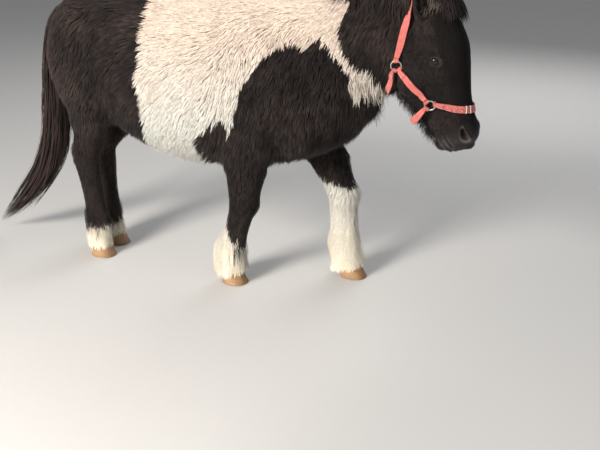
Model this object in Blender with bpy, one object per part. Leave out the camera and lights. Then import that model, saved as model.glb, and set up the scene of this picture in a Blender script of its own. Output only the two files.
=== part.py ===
"""A shetland pony in its winter coat, life size, in mid step with its head low, wearing a webbing halter.

Metres, +X the way the pony faces, +Y its left, +Z up. The origin is on the ground under its middle.
The flesh is lofted limb by limb, melted into one skin, and then parted with thin cuts into named pieces.
"""

import math
import random

import bmesh
import bpy
import numpy as np
from mathutils import Matrix, Vector
from mathutils.bvhtree import BVHTree

# Driving dimensions
WITHERS = 0.97  # height at the withers, coat included
BARREL_HALF = 0.235  # half the barrel's width
HEAD_LENGTH = 0.447  # poll to lips
HEAD_TILT = math.radians(17)  # the face line's lean from the vertical
GAP = 0.0003  # kept between touching pieces

STRAP_WIDE = 0.020  # the halter's webbing
STRAP_THICK = 0.0026
STRAP_RISE = 0.0022  # how far the webbing stands off the coat
RING_RADIUS = 0.0150  # middle of the ring's wire
RING_WIRE = 0.0023
EYE_RADIUS = 0.0170
HOOF_HEIGHT = 0.050
BODY_GRID = 0.010  # grid that melts the limbs together
HEAD_GRID = 0.0055


# Small tools for shapes
def spline(rows, count):
    """Rows of numbers, passed through by a smooth curve and read at count even places."""
    rows = np.array(rows, float)
    padded = np.vstack([2 * rows[0] - rows[1], rows, 2 * rows[-1] - rows[-2]])
    read = []
    for place in np.linspace(0, len(rows) - 1, count):
        k = min(int(place), len(rows) - 2)
        t = place - k
        a, b, c, d = padded[k : k + 4]
        bend = (2 * a - 5 * b + 4 * c - d) * t**2 + (3 * b - a - 3 * c + d) * t**3
        read.append(0.5 * (2 * b + (c - a) * t + bend))
    return np.array(read)


def section(centre, across, upward, half, top, bottom, top_power, bottom_power, corners):
    """One ring: a rounded outline whose upper and lower halves have their own heights and squareness."""
    ring = []
    for k in range(corners):
        turn = 2 * math.pi * k / corners
        c, s = math.cos(turn), math.sin(turn)
        power = top_power if s > 0 else bottom_power
        height = top if s > 0 else bottom
        side = half * math.copysign(abs(c) ** (2 / power), c)
        rise = height * math.copysign(abs(s) ** (2 / power), s)
        ring.append(Vector(centre) + Vector(across) * side + Vector(upward) * rise)
    return ring


def loft(name, rings):
    """A closed skin through rings of the same number of corners, with a small dome at each end."""
    mesh = bmesh.new()
    rows = [[mesh.verts.new(p) for p in ring] for ring in rings]
    for low, high in zip(rows, rows[1:]):
        for k in range(len(low)):
            n = (k + 1) % len(low)
            mesh.faces.new((low[k], low[n], high[n], high[k]))
    for row, turned in ((rows[0], True), (rows[-1], False)):
        middle = mesh.verts.new(sum((v.co for v in row), Vector()) / len(row))
        for k in range(len(row)):
            n = (k + 1) % len(row)
            mesh.faces.new((row[n], row[k], middle) if turned else (row[k], row[n], middle))
    bmesh.ops.recalc_face_normals(mesh, faces=mesh.faces)
    return as_object(name, mesh)


def as_object(name, mesh):
    data = bpy.data.meshes.new(name)
    mesh.to_mesh(data)
    mesh.free()
    made = bpy.data.objects.new(name, data)
    bpy.context.scene.collection.objects.link(made)
    return made


def ball(name, centre, radii, lean=0.0, rings=8):
    """An ellipsoid, leant about the left-right axis."""
    mesh = bmesh.new()
    place = Matrix.Translation(Vector(centre)) @ Matrix.Rotation(lean, 4, "Y") @ Matrix.Diagonal((*radii, 1))
    bmesh.ops.create_uvsphere(mesh, u_segments=2 * rings, v_segments=rings, radius=1, matrix=place)
    return as_object(name, mesh)


def slab(name, low, high, turn=None):
    """A box between two corners, turned by a matrix."""
    mesh = bmesh.new()
    middle, size = (Vector(low) + Vector(high)) / 2, Vector(high) - Vector(low)
    bmesh.ops.create_cube(mesh, size=1, matrix=Matrix.Translation(middle) @ Matrix.Diagonal((*size, 1)))
    if turn is not None:
        bmesh.ops.transform(mesh, matrix=turn, verts=mesh.verts)
    return as_object(name, mesh)


def drop(*objects):
    for gone in objects:
        bpy.data.objects.remove(gone)


def settle(shape):
    """The object with its modifiers applied."""
    graph = bpy.context.evaluated_depsgraph_get()
    done = bpy.data.meshes.new_from_object(shape.evaluated_get(graph))
    shape.modifiers.clear()
    shape.data = done
    return shape


def join(name, pieces):
    """Several closed shapes in one object, still crossing one another."""
    mesh = bmesh.new()
    for piece in pieces:
        mesh.from_mesh(piece.data)
    drop(*pieces)
    return as_object(name, mesh)


def cut(shape, cutter, operation="DIFFERENCE", keep_cutter=False, solver="EXACT"):
    step = shape.modifiers.new(operation.lower(), "BOOLEAN")
    step.operation = operation
    step.solver = solver
    step.object = cutter
    settle(shape)
    if not keep_cutter:
        drop(cutter)
    return shape


def copy_of(shape, name):
    twin = bpy.data.objects.new(name, shape.data.copy())
    bpy.context.scene.collection.objects.link(twin)
    return twin


def melt(shape, grid, soften, triangles):
    """Crossing shapes made one smooth closed skin of about that many triangles."""
    remesh = shape.modifiers.new("melt", "REMESH")
    remesh.mode = "VOXEL"
    remesh.voxel_size = grid
    smooth = shape.modifiers.new("soften", "SMOOTH")
    smooth.factor = 0.5
    smooth.iterations = soften
    settle(shape)
    thin = shape.modifiers.new("thin", "DECIMATE")
    thin.ratio = min(1.0, triangles / (2 * len(shape.data.polygons)))
    thin.use_collapse_triangulate = True
    return settle(shape)


# The trunk: x, top, widest height, bottom, half width, squareness above and below
TRUNK = (
    (-0.498, 0.850, 0.745, 0.660, 0.045, 2.0, 2.0),  # root of the tail
    (-0.460, 0.905, 0.720, 0.590, 0.120, 2.0, 2.0),  # buttock
    (-0.390, 0.948, 0.700, 0.535, 0.185, 2.0, 2.0),
    (-0.290, 0.965, 0.690, 0.485, 0.215, 2.0, 2.0),  # croup and hips
    (-0.160, 0.950, 0.665, 0.420, 0.228, 2.1, 2.1),  # loin and flank
    (-0.010, 0.930, 0.655, 0.388, BARREL_HALF, 2.1, 2.2),  # barrel
    (0.130, 0.938, 0.655, 0.390, 0.222, 2.0, 2.2),  # girth
    (0.270, WITHERS, 0.660, 0.408, 0.192, 1.8, 2.2),  # withers
    (0.380, 0.950, 0.670, 0.435, 0.175, 1.8, 2.2),  # shoulders
    (0.480, 0.870, 0.655, 0.485, 0.145, 2.0, 2.1),  # breast
    (0.548, 0.750, 0.635, 0.545, 0.080, 2.0, 2.0),
)

# The neck: x and z of its middle line, lean of the ring, half width, height above and below
NECK = (
    (0.300, 0.760, 0.10, 0.150, 0.190, 0.200),
    (0.380, 0.790, 0.25, 0.135, 0.185, 0.190),
    (0.470, 0.820, 0.38, 0.112, 0.170, 0.195),
    (0.560, 0.835, 0.42, 0.098, 0.152, 0.188),
    (0.640, 0.835, 0.35, 0.086, 0.132, 0.165),
    (0.705, 0.820, 0.22, 0.076, 0.095, 0.120),
)

# The head, along it from the poll: face side, jaw side, half width, squareness of face and jaw
HEAD = (
    (-0.010, 0.030, 0.060, 0.045, 2.0, 2.0),  # poll
    (0.035, 0.062, 0.088, 0.066, 2.0, 2.0),
    (0.090, 0.080, 0.112, 0.074, 2.3, 2.0),  # brow
    (0.150, 0.087, 0.132, 0.079, 2.6, 1.9),
    (0.200, 0.080, 0.142, 0.078, 2.6, 1.8),  # eyes and cheeks
    (0.245, 0.071, 0.136, 0.066, 2.5, 1.8),
    (0.295, 0.062, 0.112, 0.054, 2.4, 1.9),  # nose bone
    (0.345, 0.059, 0.090, 0.049, 2.4, 2.0),
    (0.390, 0.062, 0.072, 0.051, 2.4, 2.1),  # nostrils
    (0.420, 0.053, 0.060, 0.048, 2.3, 2.2),
    (HEAD_LENGTH - 0.006, 0.026, 0.040, 0.030, 2.1, 2.1),  # lips
)
POLL = Vector((0.715, 0, 0.925))
ALONG_HEAD = Vector((math.sin(HEAD_TILT), 0, -math.cos(HEAD_TILT)))
OUT_OF_FACE = Vector((math.cos(HEAD_TILT), 0, math.sin(HEAD_TILT)))


def on_head(along, out, side=0.0):
    """A point named by its distance along the head, out of the face and to the left."""
    return POLL + ALONG_HEAD * along + OUT_OF_FACE * out + Vector((0, side, 0))


# The legs, joint by joint down to the hoof. The right fore is drawn back, the left fore set down ahead
FORE_JOINTS = {
    -1: (
        (0.300, -0.115, 0.620),  # shoulder
        (0.215, -0.125, 0.475),  # elbow
        (0.186, -0.100, 0.275),  # knee
        (0.140, -0.096, 0.115),  # fetlock
        (0.131, -0.096, 0.035),  # hoof
    ),
    1: (
        (0.360, 0.115, 0.620),
        (0.345, 0.125, 0.475),
        (0.448, 0.100, 0.290),
        (0.462, 0.098, 0.115),
        (0.474, 0.097, 0.035),
    ),
}
HIND_JOINTS = {
    -1: (
        (-0.360, -0.120, 0.720),  # hip
        (-0.330, -0.135, 0.580),  # stifle
        (-0.412, -0.085, 0.362),  # hock
        (-0.392, -0.068, 0.125),  # fetlock
        (-0.402, -0.064, 0.035),  # hoof
    ),
    1: (
        (-0.360, 0.120, 0.720),
        (-0.325, 0.135, 0.580),
        (-0.445, 0.068, 0.362),
        (-0.434, 0.058, 0.125),
        (-0.422, 0.056, 0.035),
    ),
}
# Down a leg: which joint and how far on to the next, then forward, backward and sideways half sizes
FORE_SIZES = (
    (0, 0.0, 0.095, 0.105, 0.075),
    (0, 0.6, 0.088, 0.100, 0.072),
    (1, 0.0, 0.078, 0.088, 0.064),  # elbow
    (1, 0.4, 0.066, 0.070, 0.053),
    (1, 0.8, 0.051, 0.056, 0.044),
    (2, 0.0, 0.052, 0.051, 0.043),  # knee
    (2, 0.25, 0.040, 0.046, 0.036),
    (2, 0.6, 0.036, 0.046, 0.034),
    (2, 0.85, 0.039, 0.052, 0.037),
    (3, 0.0, 0.042, 0.056, 0.040),  # fetlock and its feather
    (3, 0.5, 0.042, 0.050, 0.041),
    (4, 0.0, 0.050, 0.046, 0.047),  # hair over the hoof
)
HIND_SIZES = (
    (0, 0.0, 0.120, 0.105, 0.085),
    (0, 0.5, 0.125, 0.112, 0.088),
    (1, 0.0, 0.108, 0.110, 0.080),  # stifle
    (1, 0.35, 0.074, 0.078, 0.062),
    (1, 0.75, 0.050, 0.052, 0.044),
    (2, 0.0, 0.046, 0.052, 0.041),  # hock
    (2, 0.2, 0.039, 0.046, 0.036),
    (2, 0.6, 0.035, 0.041, 0.032),
    (2, 0.85, 0.038, 0.046, 0.034),
    (3, 0.0, 0.042, 0.050, 0.038),  # fetlock
    (3, 0.5, 0.041, 0.044, 0.038),
    (4, 0.0, 0.049, 0.046, 0.046),  # hair over the hoof
)


def trunk():
    rings = []
    for x, top, wide, bottom, half, above, below in spline(TRUNK, 34):
        heights = top - wide, wide - bottom
        rings.append(section((x, 0, wide), (0, 1, 0), (0, 0, 1), half, *heights, above, below, 32))
    return loft("trunk", rings)


def neck():
    rings = []
    for x, z, lean, half, above, below in spline(NECK, 16):
        upward = Vector((-math.sin(lean), 0, math.cos(lean)))
        rings.append(section((x, 0, z), (0, 1, 0), upward, half, above, below, 1.9, 2.0, 28))
    return loft("neck_form", rings)


def head():
    rings = []
    for along, face, jaw, half, face_power, jaw_power in spline(HEAD, 30):
        sizes = half, face, jaw, face_power, jaw_power
        rings.append(section(on_head(along, 0), (0, 1, 0), OUT_OF_FACE, *sizes, 32))
    return loft("head_form", rings)


def leg(joints, sizes):
    joints = [Vector(j) for j in joints]
    rows = []
    for joint, share, ahead, behind, side in sizes:
        place = joints[joint] if share == 0 else joints[joint].lerp(joints[joint + 1], share)
        rows.append((*place, ahead, behind, side))
    rows = spline(rows, 30)
    rings = []
    for k, (x, y, z, ahead, behind, side) in enumerate(rows):
        before, after = rows[max(k - 1, 0)][:3], rows[min(k + 1, len(rows) - 1)][:3]
        down = (Vector(after) - Vector(before)).normalized()
        forward = (down.cross(Vector((0, 1, 0))).normalized() + Vector((1, 0, 0))).normalized()
        rings.append(section((x, y, z), (0, 1, 0), forward, side, ahead, behind, 2.1, 2.1, 18))
    return loft("leg_form", rings)


def muscles():
    """The bulges of breast, shoulders, arms, haunches and hocks."""
    made = [ball("breast", (0.512, 0, 0.630), (0.072, 0.095, 0.085))]
    for side in (-1, 1):
        fore, hock = FORE_JOINTS[side], HIND_JOINTS[side][2]
        made.append(ball("shoulder", (0.330, side * 0.112, 0.665), (0.120, 0.085, 0.210), -0.35))
        made.append(ball("arm", (fore[1][0] + 0.02, side * 0.120, 0.530), (0.105, 0.070, 0.110)))
        made.append(ball("haunch", (-0.345, side * 0.118, 0.715), (0.145, 0.098, 0.200), 0.1))
        made.append(ball("point_of_hock", (hock[0] - 0.030, hock[1], hock[2] + 0.020), (0.026, 0.024, 0.042)))
    return made


def head_bulges():
    """Cheeks, lids, the bone over the eyes, nostril wings, lips and chin."""
    made = []
    for side in (-1, 1):
        made.append(ball("cheek", on_head(0.190, -0.060, side * 0.046), (0.064, 0.036, 0.074), HEAD_TILT))
        made.append(ball("brow", on_head(0.148, 0.010, side * 0.058), (0.038, 0.024, 0.028), HEAD_TILT))
        made.append(ball("lids", on_head(*EYE, side * EYE_SIDE), (0.0235, 0.0235, 0.0220), HEAD_TILT))
        wing = on_head(0.392, 0.028, side * 0.036)
        made.append(ball("nostril_wing", wing, (0.030, 0.020, 0.034), HEAD_TILT))
    made.append(ball("poll", (0.682, 0, 0.888), (0.060, 0.050, 0.068)))
    made.append(ball("upper_lip", on_head(0.418, 0.006), (0.040, 0.040, 0.022), HEAD_TILT))
    made.append(ball("chin", on_head(0.414, -0.050), (0.024, 0.034, 0.022), HEAD_TILT))
    return made


EYE = (0.172, 0.004)  # along the head and out of the face
EYE_SIDE = 0.0625


def body_flesh():
    pieces = [trunk(), neck(), *muscles()]
    for side in (-1, 1):
        pieces.append(leg(FORE_JOINTS[side], FORE_SIZES))
        pieces.append(leg(HIND_JOINTS[side], HIND_SIZES))
    return melt(join("body", pieces), BODY_GRID, 9, 2750)


def head_flesh():
    """The head with enough of the neck that the two meet in one surface."""
    return melt(join("head", [head(), neck(), *head_bulges()]), HEAD_GRID, 5, 2080)


def grown(shape, by):
    """A copy with every point moved out along its normal."""
    twin = copy_of(shape, "grown")
    step = twin.modifiers.new("grow", "DISPLACE")
    step.mid_level = 0.0
    step.strength = by
    return settle(twin)


def clear_of(shape, others, by=0.0006):
    """The shape with the others, a little grown, taken out of it."""
    for other in others:
        cut(shape, grown(other, by), solver="MANIFOLD")
    return largest(shape)


def largest(shape):
    """Only the largest closed surface."""
    mesh = bmesh.new()
    mesh.from_mesh(shape.data)
    left = set(mesh.verts)
    groups = []
    while left:
        front = [left.pop()]
        group = list(front)
        while front:
            reached = [e.other_vert(v) for v in front for e in v.link_edges]
            front = [v for v in set(reached) if v in left]
            left.difference_update(front)
            group += front
        groups.append(group)
    groups.sort(key=len)
    bmesh.ops.delete(mesh, geom=[v for group in groups[:-1] for v in group], context="VERTS")
    mesh.to_mesh(shape.data)
    mesh.free()
    return shape


def block_ahead(first, second, extra=0.0, depth=0.9):
    """A block whose rear face passes the two points (x, z), moved back by extra, as deep as depth."""
    a, b = Vector((first[0] - extra, 0, first[1])), Vector((second[0] - extra, 0, second[1]))
    off = (b - a).normalized().cross(Vector((0, 1, 0))) * -depth
    mesh = bmesh.new()
    corners = []
    for y in (-0.3, 0.3):
        for p in (a, b, b + off, a + off):
            corners.append(mesh.verts.new(p + Vector((0, y, 0))))
    mesh.faces.new(corners[:4])
    mesh.faces.new(corners[4:])
    for k in range(4):
        n = (k + 1) % 4
        mesh.faces.new((corners[k], corners[n], corners[n + 4], corners[k + 4]))
    bmesh.ops.recalc_face_normals(mesh, faces=mesh.faces)
    return as_object("block", mesh)


# The cuts between the named parts, as x and z of two points
POLL_CUT = ((0.612, 0.48), (0.664, 1.08))
NECK_CUT = ((0.595, 0.565), (0.290, 1.06))


def split(shape, block_of, name):
    """Parts the shape in two along a block, with a thin gap: the part inside the block is returned."""
    inside = copy_of(shape, name)
    cut(inside, block_of(0.0), "INTERSECT")
    cut(shape, block_of(GAP))
    largest(shape)
    return largest(inside)


def leg_block(centre, reach, along_x, outward, side, extra):
    """A block under a leg's root: its top face slopes forward by along_x and outward by outward."""
    x, y, z = centre
    mesh = bmesh.new()
    low, high = [], []
    for dx, dy in ((-reach, -0.115), (reach, -0.115), (reach, 0.14), (-reach, 0.14)):
        top = z + dx * along_x + dy * outward + extra
        low.append(mesh.verts.new((x + dx, side * (y + dy), -0.05)))
        high.append(mesh.verts.new((x + dx, side * (y + dy), top)))
    mesh.faces.new(low)
    mesh.faces.new(high)
    for k in range(4):
        n = (k + 1) % 4
        mesh.faces.new((low[k], low[n], high[n], high[k]))
    bmesh.ops.recalc_face_normals(mesh, faces=mesh.faces)
    return as_object("block", mesh)


def hoof(name, foot, side):
    """A blunt cone with its toe sloped forward, flat on the ground."""
    x, y = foot
    rings = []
    for z, lead, front, back, half in (
        (0.0, 0.003, 0.044, 0.038, 0.038),
        (0.003, 0.003, 0.046, 0.040, 0.040),
        (HOOF_HEIGHT * 0.6, -0.005, 0.039, 0.035, 0.036),
        (HOOF_HEIGHT, -0.012, 0.033, 0.029, 0.031),
    ):
        rings.append(section((x + lead, y, z), (0, 1, 0), (1, 0, 0), half, front, back, 2.2, 2.0, 14))
    return loft(name, rings)


def place_on(surface, point):
    """The nearest place on a surface and the way out of it."""
    spot, normal, _, _ = surface.find_nearest(Vector(point))
    return spot, normal


def band(name, rows, thick):
    """Webbing through rows of two edges and the ways out there, closed at both ends."""
    mesh = bmesh.new()
    rings = []
    for (left, right), (left_out, right_out) in rows:
        ring = (left, right, right + right_out * thick, left + left_out * thick)
        rings.append([mesh.verts.new(corner) for corner in ring])
    for low, high in zip(rings, rings[1:]):
        for k in range(4):
            n = (k + 1) % 4
            mesh.faces.new((low[k], low[n], high[n], high[k]))
    mesh.faces.new(rings[0])
    mesh.faces.new(rings[-1])
    bmesh.ops.recalc_face_normals(mesh, faces=mesh.faces)
    return as_object(name, mesh)


def strap(name, surface, path, count, loops=(), hung_from=None):
    """Webbing laid along a rough path over a surface, its ends lifted to meet the rings.

    With hung_from it hangs free along the path instead, its flat side toward that point.
    """
    line = [Vector(p) for p in spline(path, count)]
    if hung_from is None:
        line, ways = [list(found) for found in zip(*(place_on(surface, point) for point in line))]
    else:
        ways = [(point - hung_from).normalized() for point in line]
    for _ in range(2):
        for row in (line, ways):
            row[1:-1] = [(before + at * 2 + after) / 4 for before, at, after in zip(row, row[1:], row[2:])]
    rows = []
    for k, point in enumerate(line):
        run = (line[min(k + 1, count - 1)] - line[max(k - 1, 0)]).normalized()
        way = (ways[k] - run * run.dot(ways[k])).normalized()
        from_end = min(k, count - 1 - k)
        wide = STRAP_WIDE * min(1.0, 0.62 + from_end * 0.16)
        lift = STRAP_RISE + 0.0045 * max(0.0, 1 - from_end / 1.6)
        across = run.cross(way)
        rise = lift
        for side in (-0.5, -0.25, 0, 0.25, 0.5):
            under = point + across * side * wide
            rise = max(rise, (off_surface(surface, under + way * lift, lift)[0] - under).dot(way))
        edges = [point + across * side * wide + way * rise for side in (-0.5, 0.5)]
        rows.append((edges, (way, way)))
    made = band(name, rows, STRAP_THICK)
    for middle, axis, turn in loops:
        cut(made, ring_arc(middle, axis, turn, 0.42), "UNION")
    return made


def turned(axis):
    """A frame whose third direction is the axis."""
    axis = Vector(axis).normalized()
    first = axis.orthogonal().normalized()
    second = axis.cross(first)
    return first, second, axis


def torus(name, middle, axis, radius, wire, around=12, about=5, half_turn=math.pi, toward=None):
    """A ring of round wire, or only the part of one that lies within half_turn of the toward direction."""
    first, second, axis = turned(axis)
    if toward is not None:
        first = (Vector(toward) - axis * axis.dot(Vector(toward))).normalized()
        second = axis.cross(first)
    mesh = bmesh.new()
    whole = toward is None
    rings = []
    for k in range(around if whole else around + 1):
        turn = half_turn * (2 * k / around - 1)
        way = first * math.cos(turn) + second * math.sin(turn)
        ring = []
        for n in range(about):
            a = 2 * math.pi * (n + 0.5) / about
            corner = middle + way * (radius + wire * math.cos(a)) + axis * wire * math.sin(a)
            ring.append(mesh.verts.new(corner))
        rings.append(ring)
    pairs = list(zip(rings, rings[1:])) + ([(rings[-1], rings[0])] if whole else [])
    for low, high in pairs:
        for n in range(about):
            m = (n + 1) % about
            mesh.faces.new((low[n], low[m], high[m], high[n]))
    if not whole:
        mesh.faces.new(rings[0])
        mesh.faces.new(rings[-1])
    bmesh.ops.recalc_face_normals(mesh, faces=mesh.faces)
    return as_object(name, mesh)


def ring_arc(middle, axis, toward, half_turn):
    """Webbing folded round a stretch of the ring's wire."""
    wire = RING_WIRE + 0.0008 + STRAP_THICK
    return torus("fold", middle, axis, RING_RADIUS, wire, 4, 6, half_turn, toward)


def ear(side):
    """A short cupped ear, leant out and a little forward, its hollow open to the front and side."""
    way = (ALONG_HEAD * -0.90 + Vector((0, side * 0.36, 0)) + OUT_OF_FACE * 0.06).normalized()
    opening = (OUT_OF_FACE * 0.80 + Vector((0, side * 0.60, 0))).normalized()
    opening = (opening - way * opening.dot(way)).normalized()
    across = way.cross(opening)
    root = on_head(0.066, -0.004, side * 0.046)
    shape = (
        (0.000, 0.018, 0.016, 0.000),
        (0.026, 0.024, 0.019, 0.000),
        (0.052, 0.026, 0.018, 0.001),
        (0.078, 0.022, 0.014, 0.004),
        (0.100, 0.014, 0.010, 0.009),
        (0.118, 0.003, 0.003, 0.014),
    )
    hollow_shape = (
        (0.034, 0.005, 0.008, 0.018),
        (0.052, 0.018, 0.018, 0.017),
        (0.078, 0.016, 0.016, 0.017),
        (0.108, 0.003, 0.006, 0.019),
    )
    forms = []
    for rows, count, corners in ((shape, 8, 10), (hollow_shape, 5, 8)):
        sections = []
        for up, half, deep, bend in spline(rows, count):
            middle = root + way * up + opening * bend
            sections.append(section(middle, across, opening, half, deep, deep, 2, 2, corners))
        forms.append(sections)
    made = loft("ear_left" if side > 0 else "ear_right", forms[0])
    return largest(cut(made, loft("hollow", forms[1])))


def open_head(shape):
    """Sockets with lids, nostrils and the line of the mouth."""
    for side in (-1, 1):
        middle = on_head(*EYE, side * EYE_SIDE)
        cut(shape, ball("socket", middle, (EYE_RADIUS + 0.0006,) * 3, rings=7))
        between_lids = middle + Vector((0.002, side * 0.016, 0))
        cut(shape, ball("lid_opening", between_lids, (0.0155, 0.014, 0.0062), -0.25))
        nostril = on_head(0.388, 0.042, side * 0.046)
        cut(shape, ball("nostril", nostril, (0.0075, 0.011, 0.0140), HEAD_TILT + 0.5))
    mouth = slab("mouth", (-0.0007, -0.08, -0.036), (0.0007, 0.08, 0.05))
    corner_of_lips = Matrix.Translation(on_head(0.436, -0.018))
    mouth.data.transform(corner_of_lips @ Matrix.Rotation(-HEAD_TILT - 0.38, 4, "Y"))
    return cut(shape, mouth)


def lock(points, width, thick, outward):
    """One flat tapered lock through the points: widest a third of the way down, ending in a point."""
    points = [Vector(p) for p in points]
    last = len(points) - 1
    mesh = bmesh.new()
    rows = []
    for k, point in enumerate(points[:-1]):
        run = (points[k + 1] - points[max(k - 1, 0)]).normalized()
        way = outward[k] - run * run.dot(outward[k])
        way.normalize()
        across = run.cross(way)
        share = k / last
        wide = width * min(0.5 + 2.6 * share, 1.0, 2.4 * (1 - share) ** 0.8)
        deep = thick * (1 - 0.6 * share)
        rows.append([
            mesh.verts.new(point - across * wide / 2 - way * deep * 0.4),
            mesh.verts.new(point + across * wide / 2 - way * deep * 0.4),
            mesh.verts.new(point + way * deep * 0.6),
        ])
    tip = mesh.verts.new(points[-1])
    mesh.faces.new(rows[0])
    for low, high in zip(rows, rows[1:]):
        for k in range(3):
            n = (k + 1) % 3
            mesh.faces.new((low[k], low[n], high[n], high[k]))
    for k in range(3):
        mesh.faces.new((rows[-1][k], rows[-1][(k + 1) % 3], tip))
    bmesh.ops.recalc_face_normals(mesh, faces=mesh.faces)
    return as_object("lock", mesh)


def fuse(core, locks):
    """The core and its locks as one closed surface."""
    group = bpy.data.collections.new("locks")
    for piece in locks:
        bpy.context.scene.collection.objects.unlink(piece)
        group.objects.link(piece)
    bpy.context.scene.collection.children.link(group)
    step = core.modifiers.new("fuse", "BOOLEAN")
    step.operation = "UNION"
    step.operand_type = "COLLECTION"
    step.collection = group
    step.solver = "MANIFOLD"
    settle(core)
    drop(*locks)
    bpy.data.collections.remove(group)
    return largest(core)


def off_surface(surface, point, clearance):
    """The point, moved out until it is the clearance above the surface; and the way out there."""
    spot, normal, _, _ = surface.find_nearest(Vector(point))
    height = (Vector(point) - spot).dot(normal)
    if height < clearance:
        return spot + normal * clearance, normal
    return Vector(point), normal


def plain_tube(name, rows, corners=12, count=14):
    """A round or flat form through rows of x, y, z, half width and half depth."""
    rows = spline(rows, count)
    rings = []
    for k, (x, y, z, half, deep) in enumerate(rows):
        before, after = rows[max(k - 1, 0)][:3], rows[min(k + 1, len(rows) - 1)][:3]
        run = (Vector(after) - Vector(before)).normalized()
        across = Vector((0, 1, 0))
        upward = run.cross(across).normalized()
        rings.append(section((x, y, z), across, upward, half, deep, deep, 2, 2, corners))
    return loft(name, rings)


# Cores of the long hair: x, y, z, half width and half depth
MANE_CORE = (
    (0.684, 0.0, 0.934, 0.012, 0.012),
    (0.664, 0.0, 0.950, 0.022, 0.024),
    (0.600, 0.0, 0.958, 0.042, 0.034),
    (0.520, 0.0, 0.962, 0.048, 0.034),
    (0.420, 0.0, 0.958, 0.048, 0.034),
    (0.330, 0.0, 0.962, 0.036, 0.026),
    (0.275, 0.0, 0.962, 0.016, 0.016),
)
FORELOCK_CORE = (
    (0.712, 0.0, 0.944, 0.026, 0.016),
    (0.738, 0.0, 0.946, 0.034, 0.019),
    (0.764, 0.0, 0.926, 0.036, 0.019),
    (0.786, 0.0, 0.897, 0.028, 0.015),
)
TAIL = (
    (-0.470, 0.0, 0.850, 0.030, 0.030),
    (-0.520, 0.0, 0.835, 0.042, 0.034),
    (-0.572, 0.0, 0.765, 0.050, 0.040),
    (-0.600, 0.0, 0.660, 0.056, 0.046),
    (-0.615, 0.0, 0.530, 0.058, 0.048),
    (-0.632, 0.0, 0.400, 0.056, 0.048),
    (-0.680, 0.0, 0.270, 0.050, 0.046),
    (-0.772, 0.0, 0.155, 0.040, 0.040),
    (-0.885, 0.0, 0.036, 0.014, 0.012),
)
HANGING_TAIL = (
    (-0.470, 0.0, 0.850, 0.030, 0.030),
    (-0.520, 0.0, 0.835, 0.042, 0.034),
    (-0.566, 0.0, 0.765, 0.050, 0.040),
    (-0.584, 0.0, 0.660, 0.054, 0.042),
    (-0.588, 0.0, 0.530, 0.056, 0.042),
    (-0.590, 0.0, 0.420, 0.056, 0.042),
    (-0.600, 0.0, 0.330, 0.052, 0.040),
    (-0.630, 0.0, 0.240, 0.046, 0.036),
    (-0.680, 0.0, 0.150, 0.030, 0.024),
)


def first_hit(surfaces, start, way):
    """Where a line first meets one of the surfaces, and that surface."""
    found = [(surface.ray_cast(start, way), surface) for surface in surfaces]
    hits = [(hit[3], hit[0], surface) for hit, surface in found if hit[0] is not None]
    _, spot, surface = min(hits, key=lambda hit: hit[0])
    return spot, surface


def mane_locks(surfaces, random_source):
    """Both sides of the crest: long on the left, where most of the mane falls, short on the right."""
    made = []
    for side, count, least, most in ((1, 11, 0.17, 0.27), (-1, 10, 0.09, 0.150)):
        for k in range(count):
            share = (k + random_source.uniform(0.2, 0.8)) / count
            x = 0.285 + 0.358 * share
            crest = first_hit(surfaces, Vector((x, 0, 1.3)), Vector((0, 0, -1)))[0].z
            fullness = 0.62 + 0.38 * math.sin(math.pi * min(1, share + 0.25))
            length = random_source.uniform(least, most) * fullness
            drift = random_source.uniform(-0.055, 0.040)
            lift = random_source.uniform(0.010, 0.020)
            points = [Vector((x, side * 0.004, crest - 0.004)), Vector((x, side * 0.030, crest + lift))]
            outward = [Vector((0, side * 0.3, 1)), Vector((0, side * 0.7, 1))]
            for step in (0.30, 0.62, 1.0):
                height = crest + 0.006 - length * step
                start = Vector((x + drift * step**1.6, side * 0.4, height))
                spot, surface = first_hit(surfaces, start, Vector((0, -side, 0)))
                point, normal = off_surface(surface, spot, 0.009 + 0.007 * (1 - step))
                points.append(point)
                outward.append(normal)
            made.append(lock(points, random_source.uniform(0.062, 0.078), 0.013, outward))
    return made


def forelock_locks(surface, random_source):
    """Over the forehead from between the ears, fanned to both sides."""
    made = []
    count = 8
    for k in range(count):
        share = (k + 0.5) / count * 2 - 1
        length = random_source.uniform(0.13, 0.20) * (1 - 0.35 * abs(share))
        points = [Vector((0.722, share * 0.012, 0.944)), Vector((0.752, share * 0.028, 0.950))]
        outward = [Vector((0.2, 0, 1)), Vector((0.6, share * 0.3, 0.8))]
        for step in (0.35, 0.68, 1.0):
            along = 0.010 + length * step
            drift = random_source.uniform(-0.005, 0.005)
            aim = on_head(along, 0.20, share * (0.034 + 0.022 * step) + drift)
            spot = surface.ray_cast(aim, -OUT_OF_FACE)[0]
            point, normal = off_surface(surface, spot, 0.008 - 0.002 * step)
            points.append(point)
            outward.append(normal)
        made.append(lock(points, random_source.uniform(0.032, 0.042), 0.012, outward))
    return made


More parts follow.
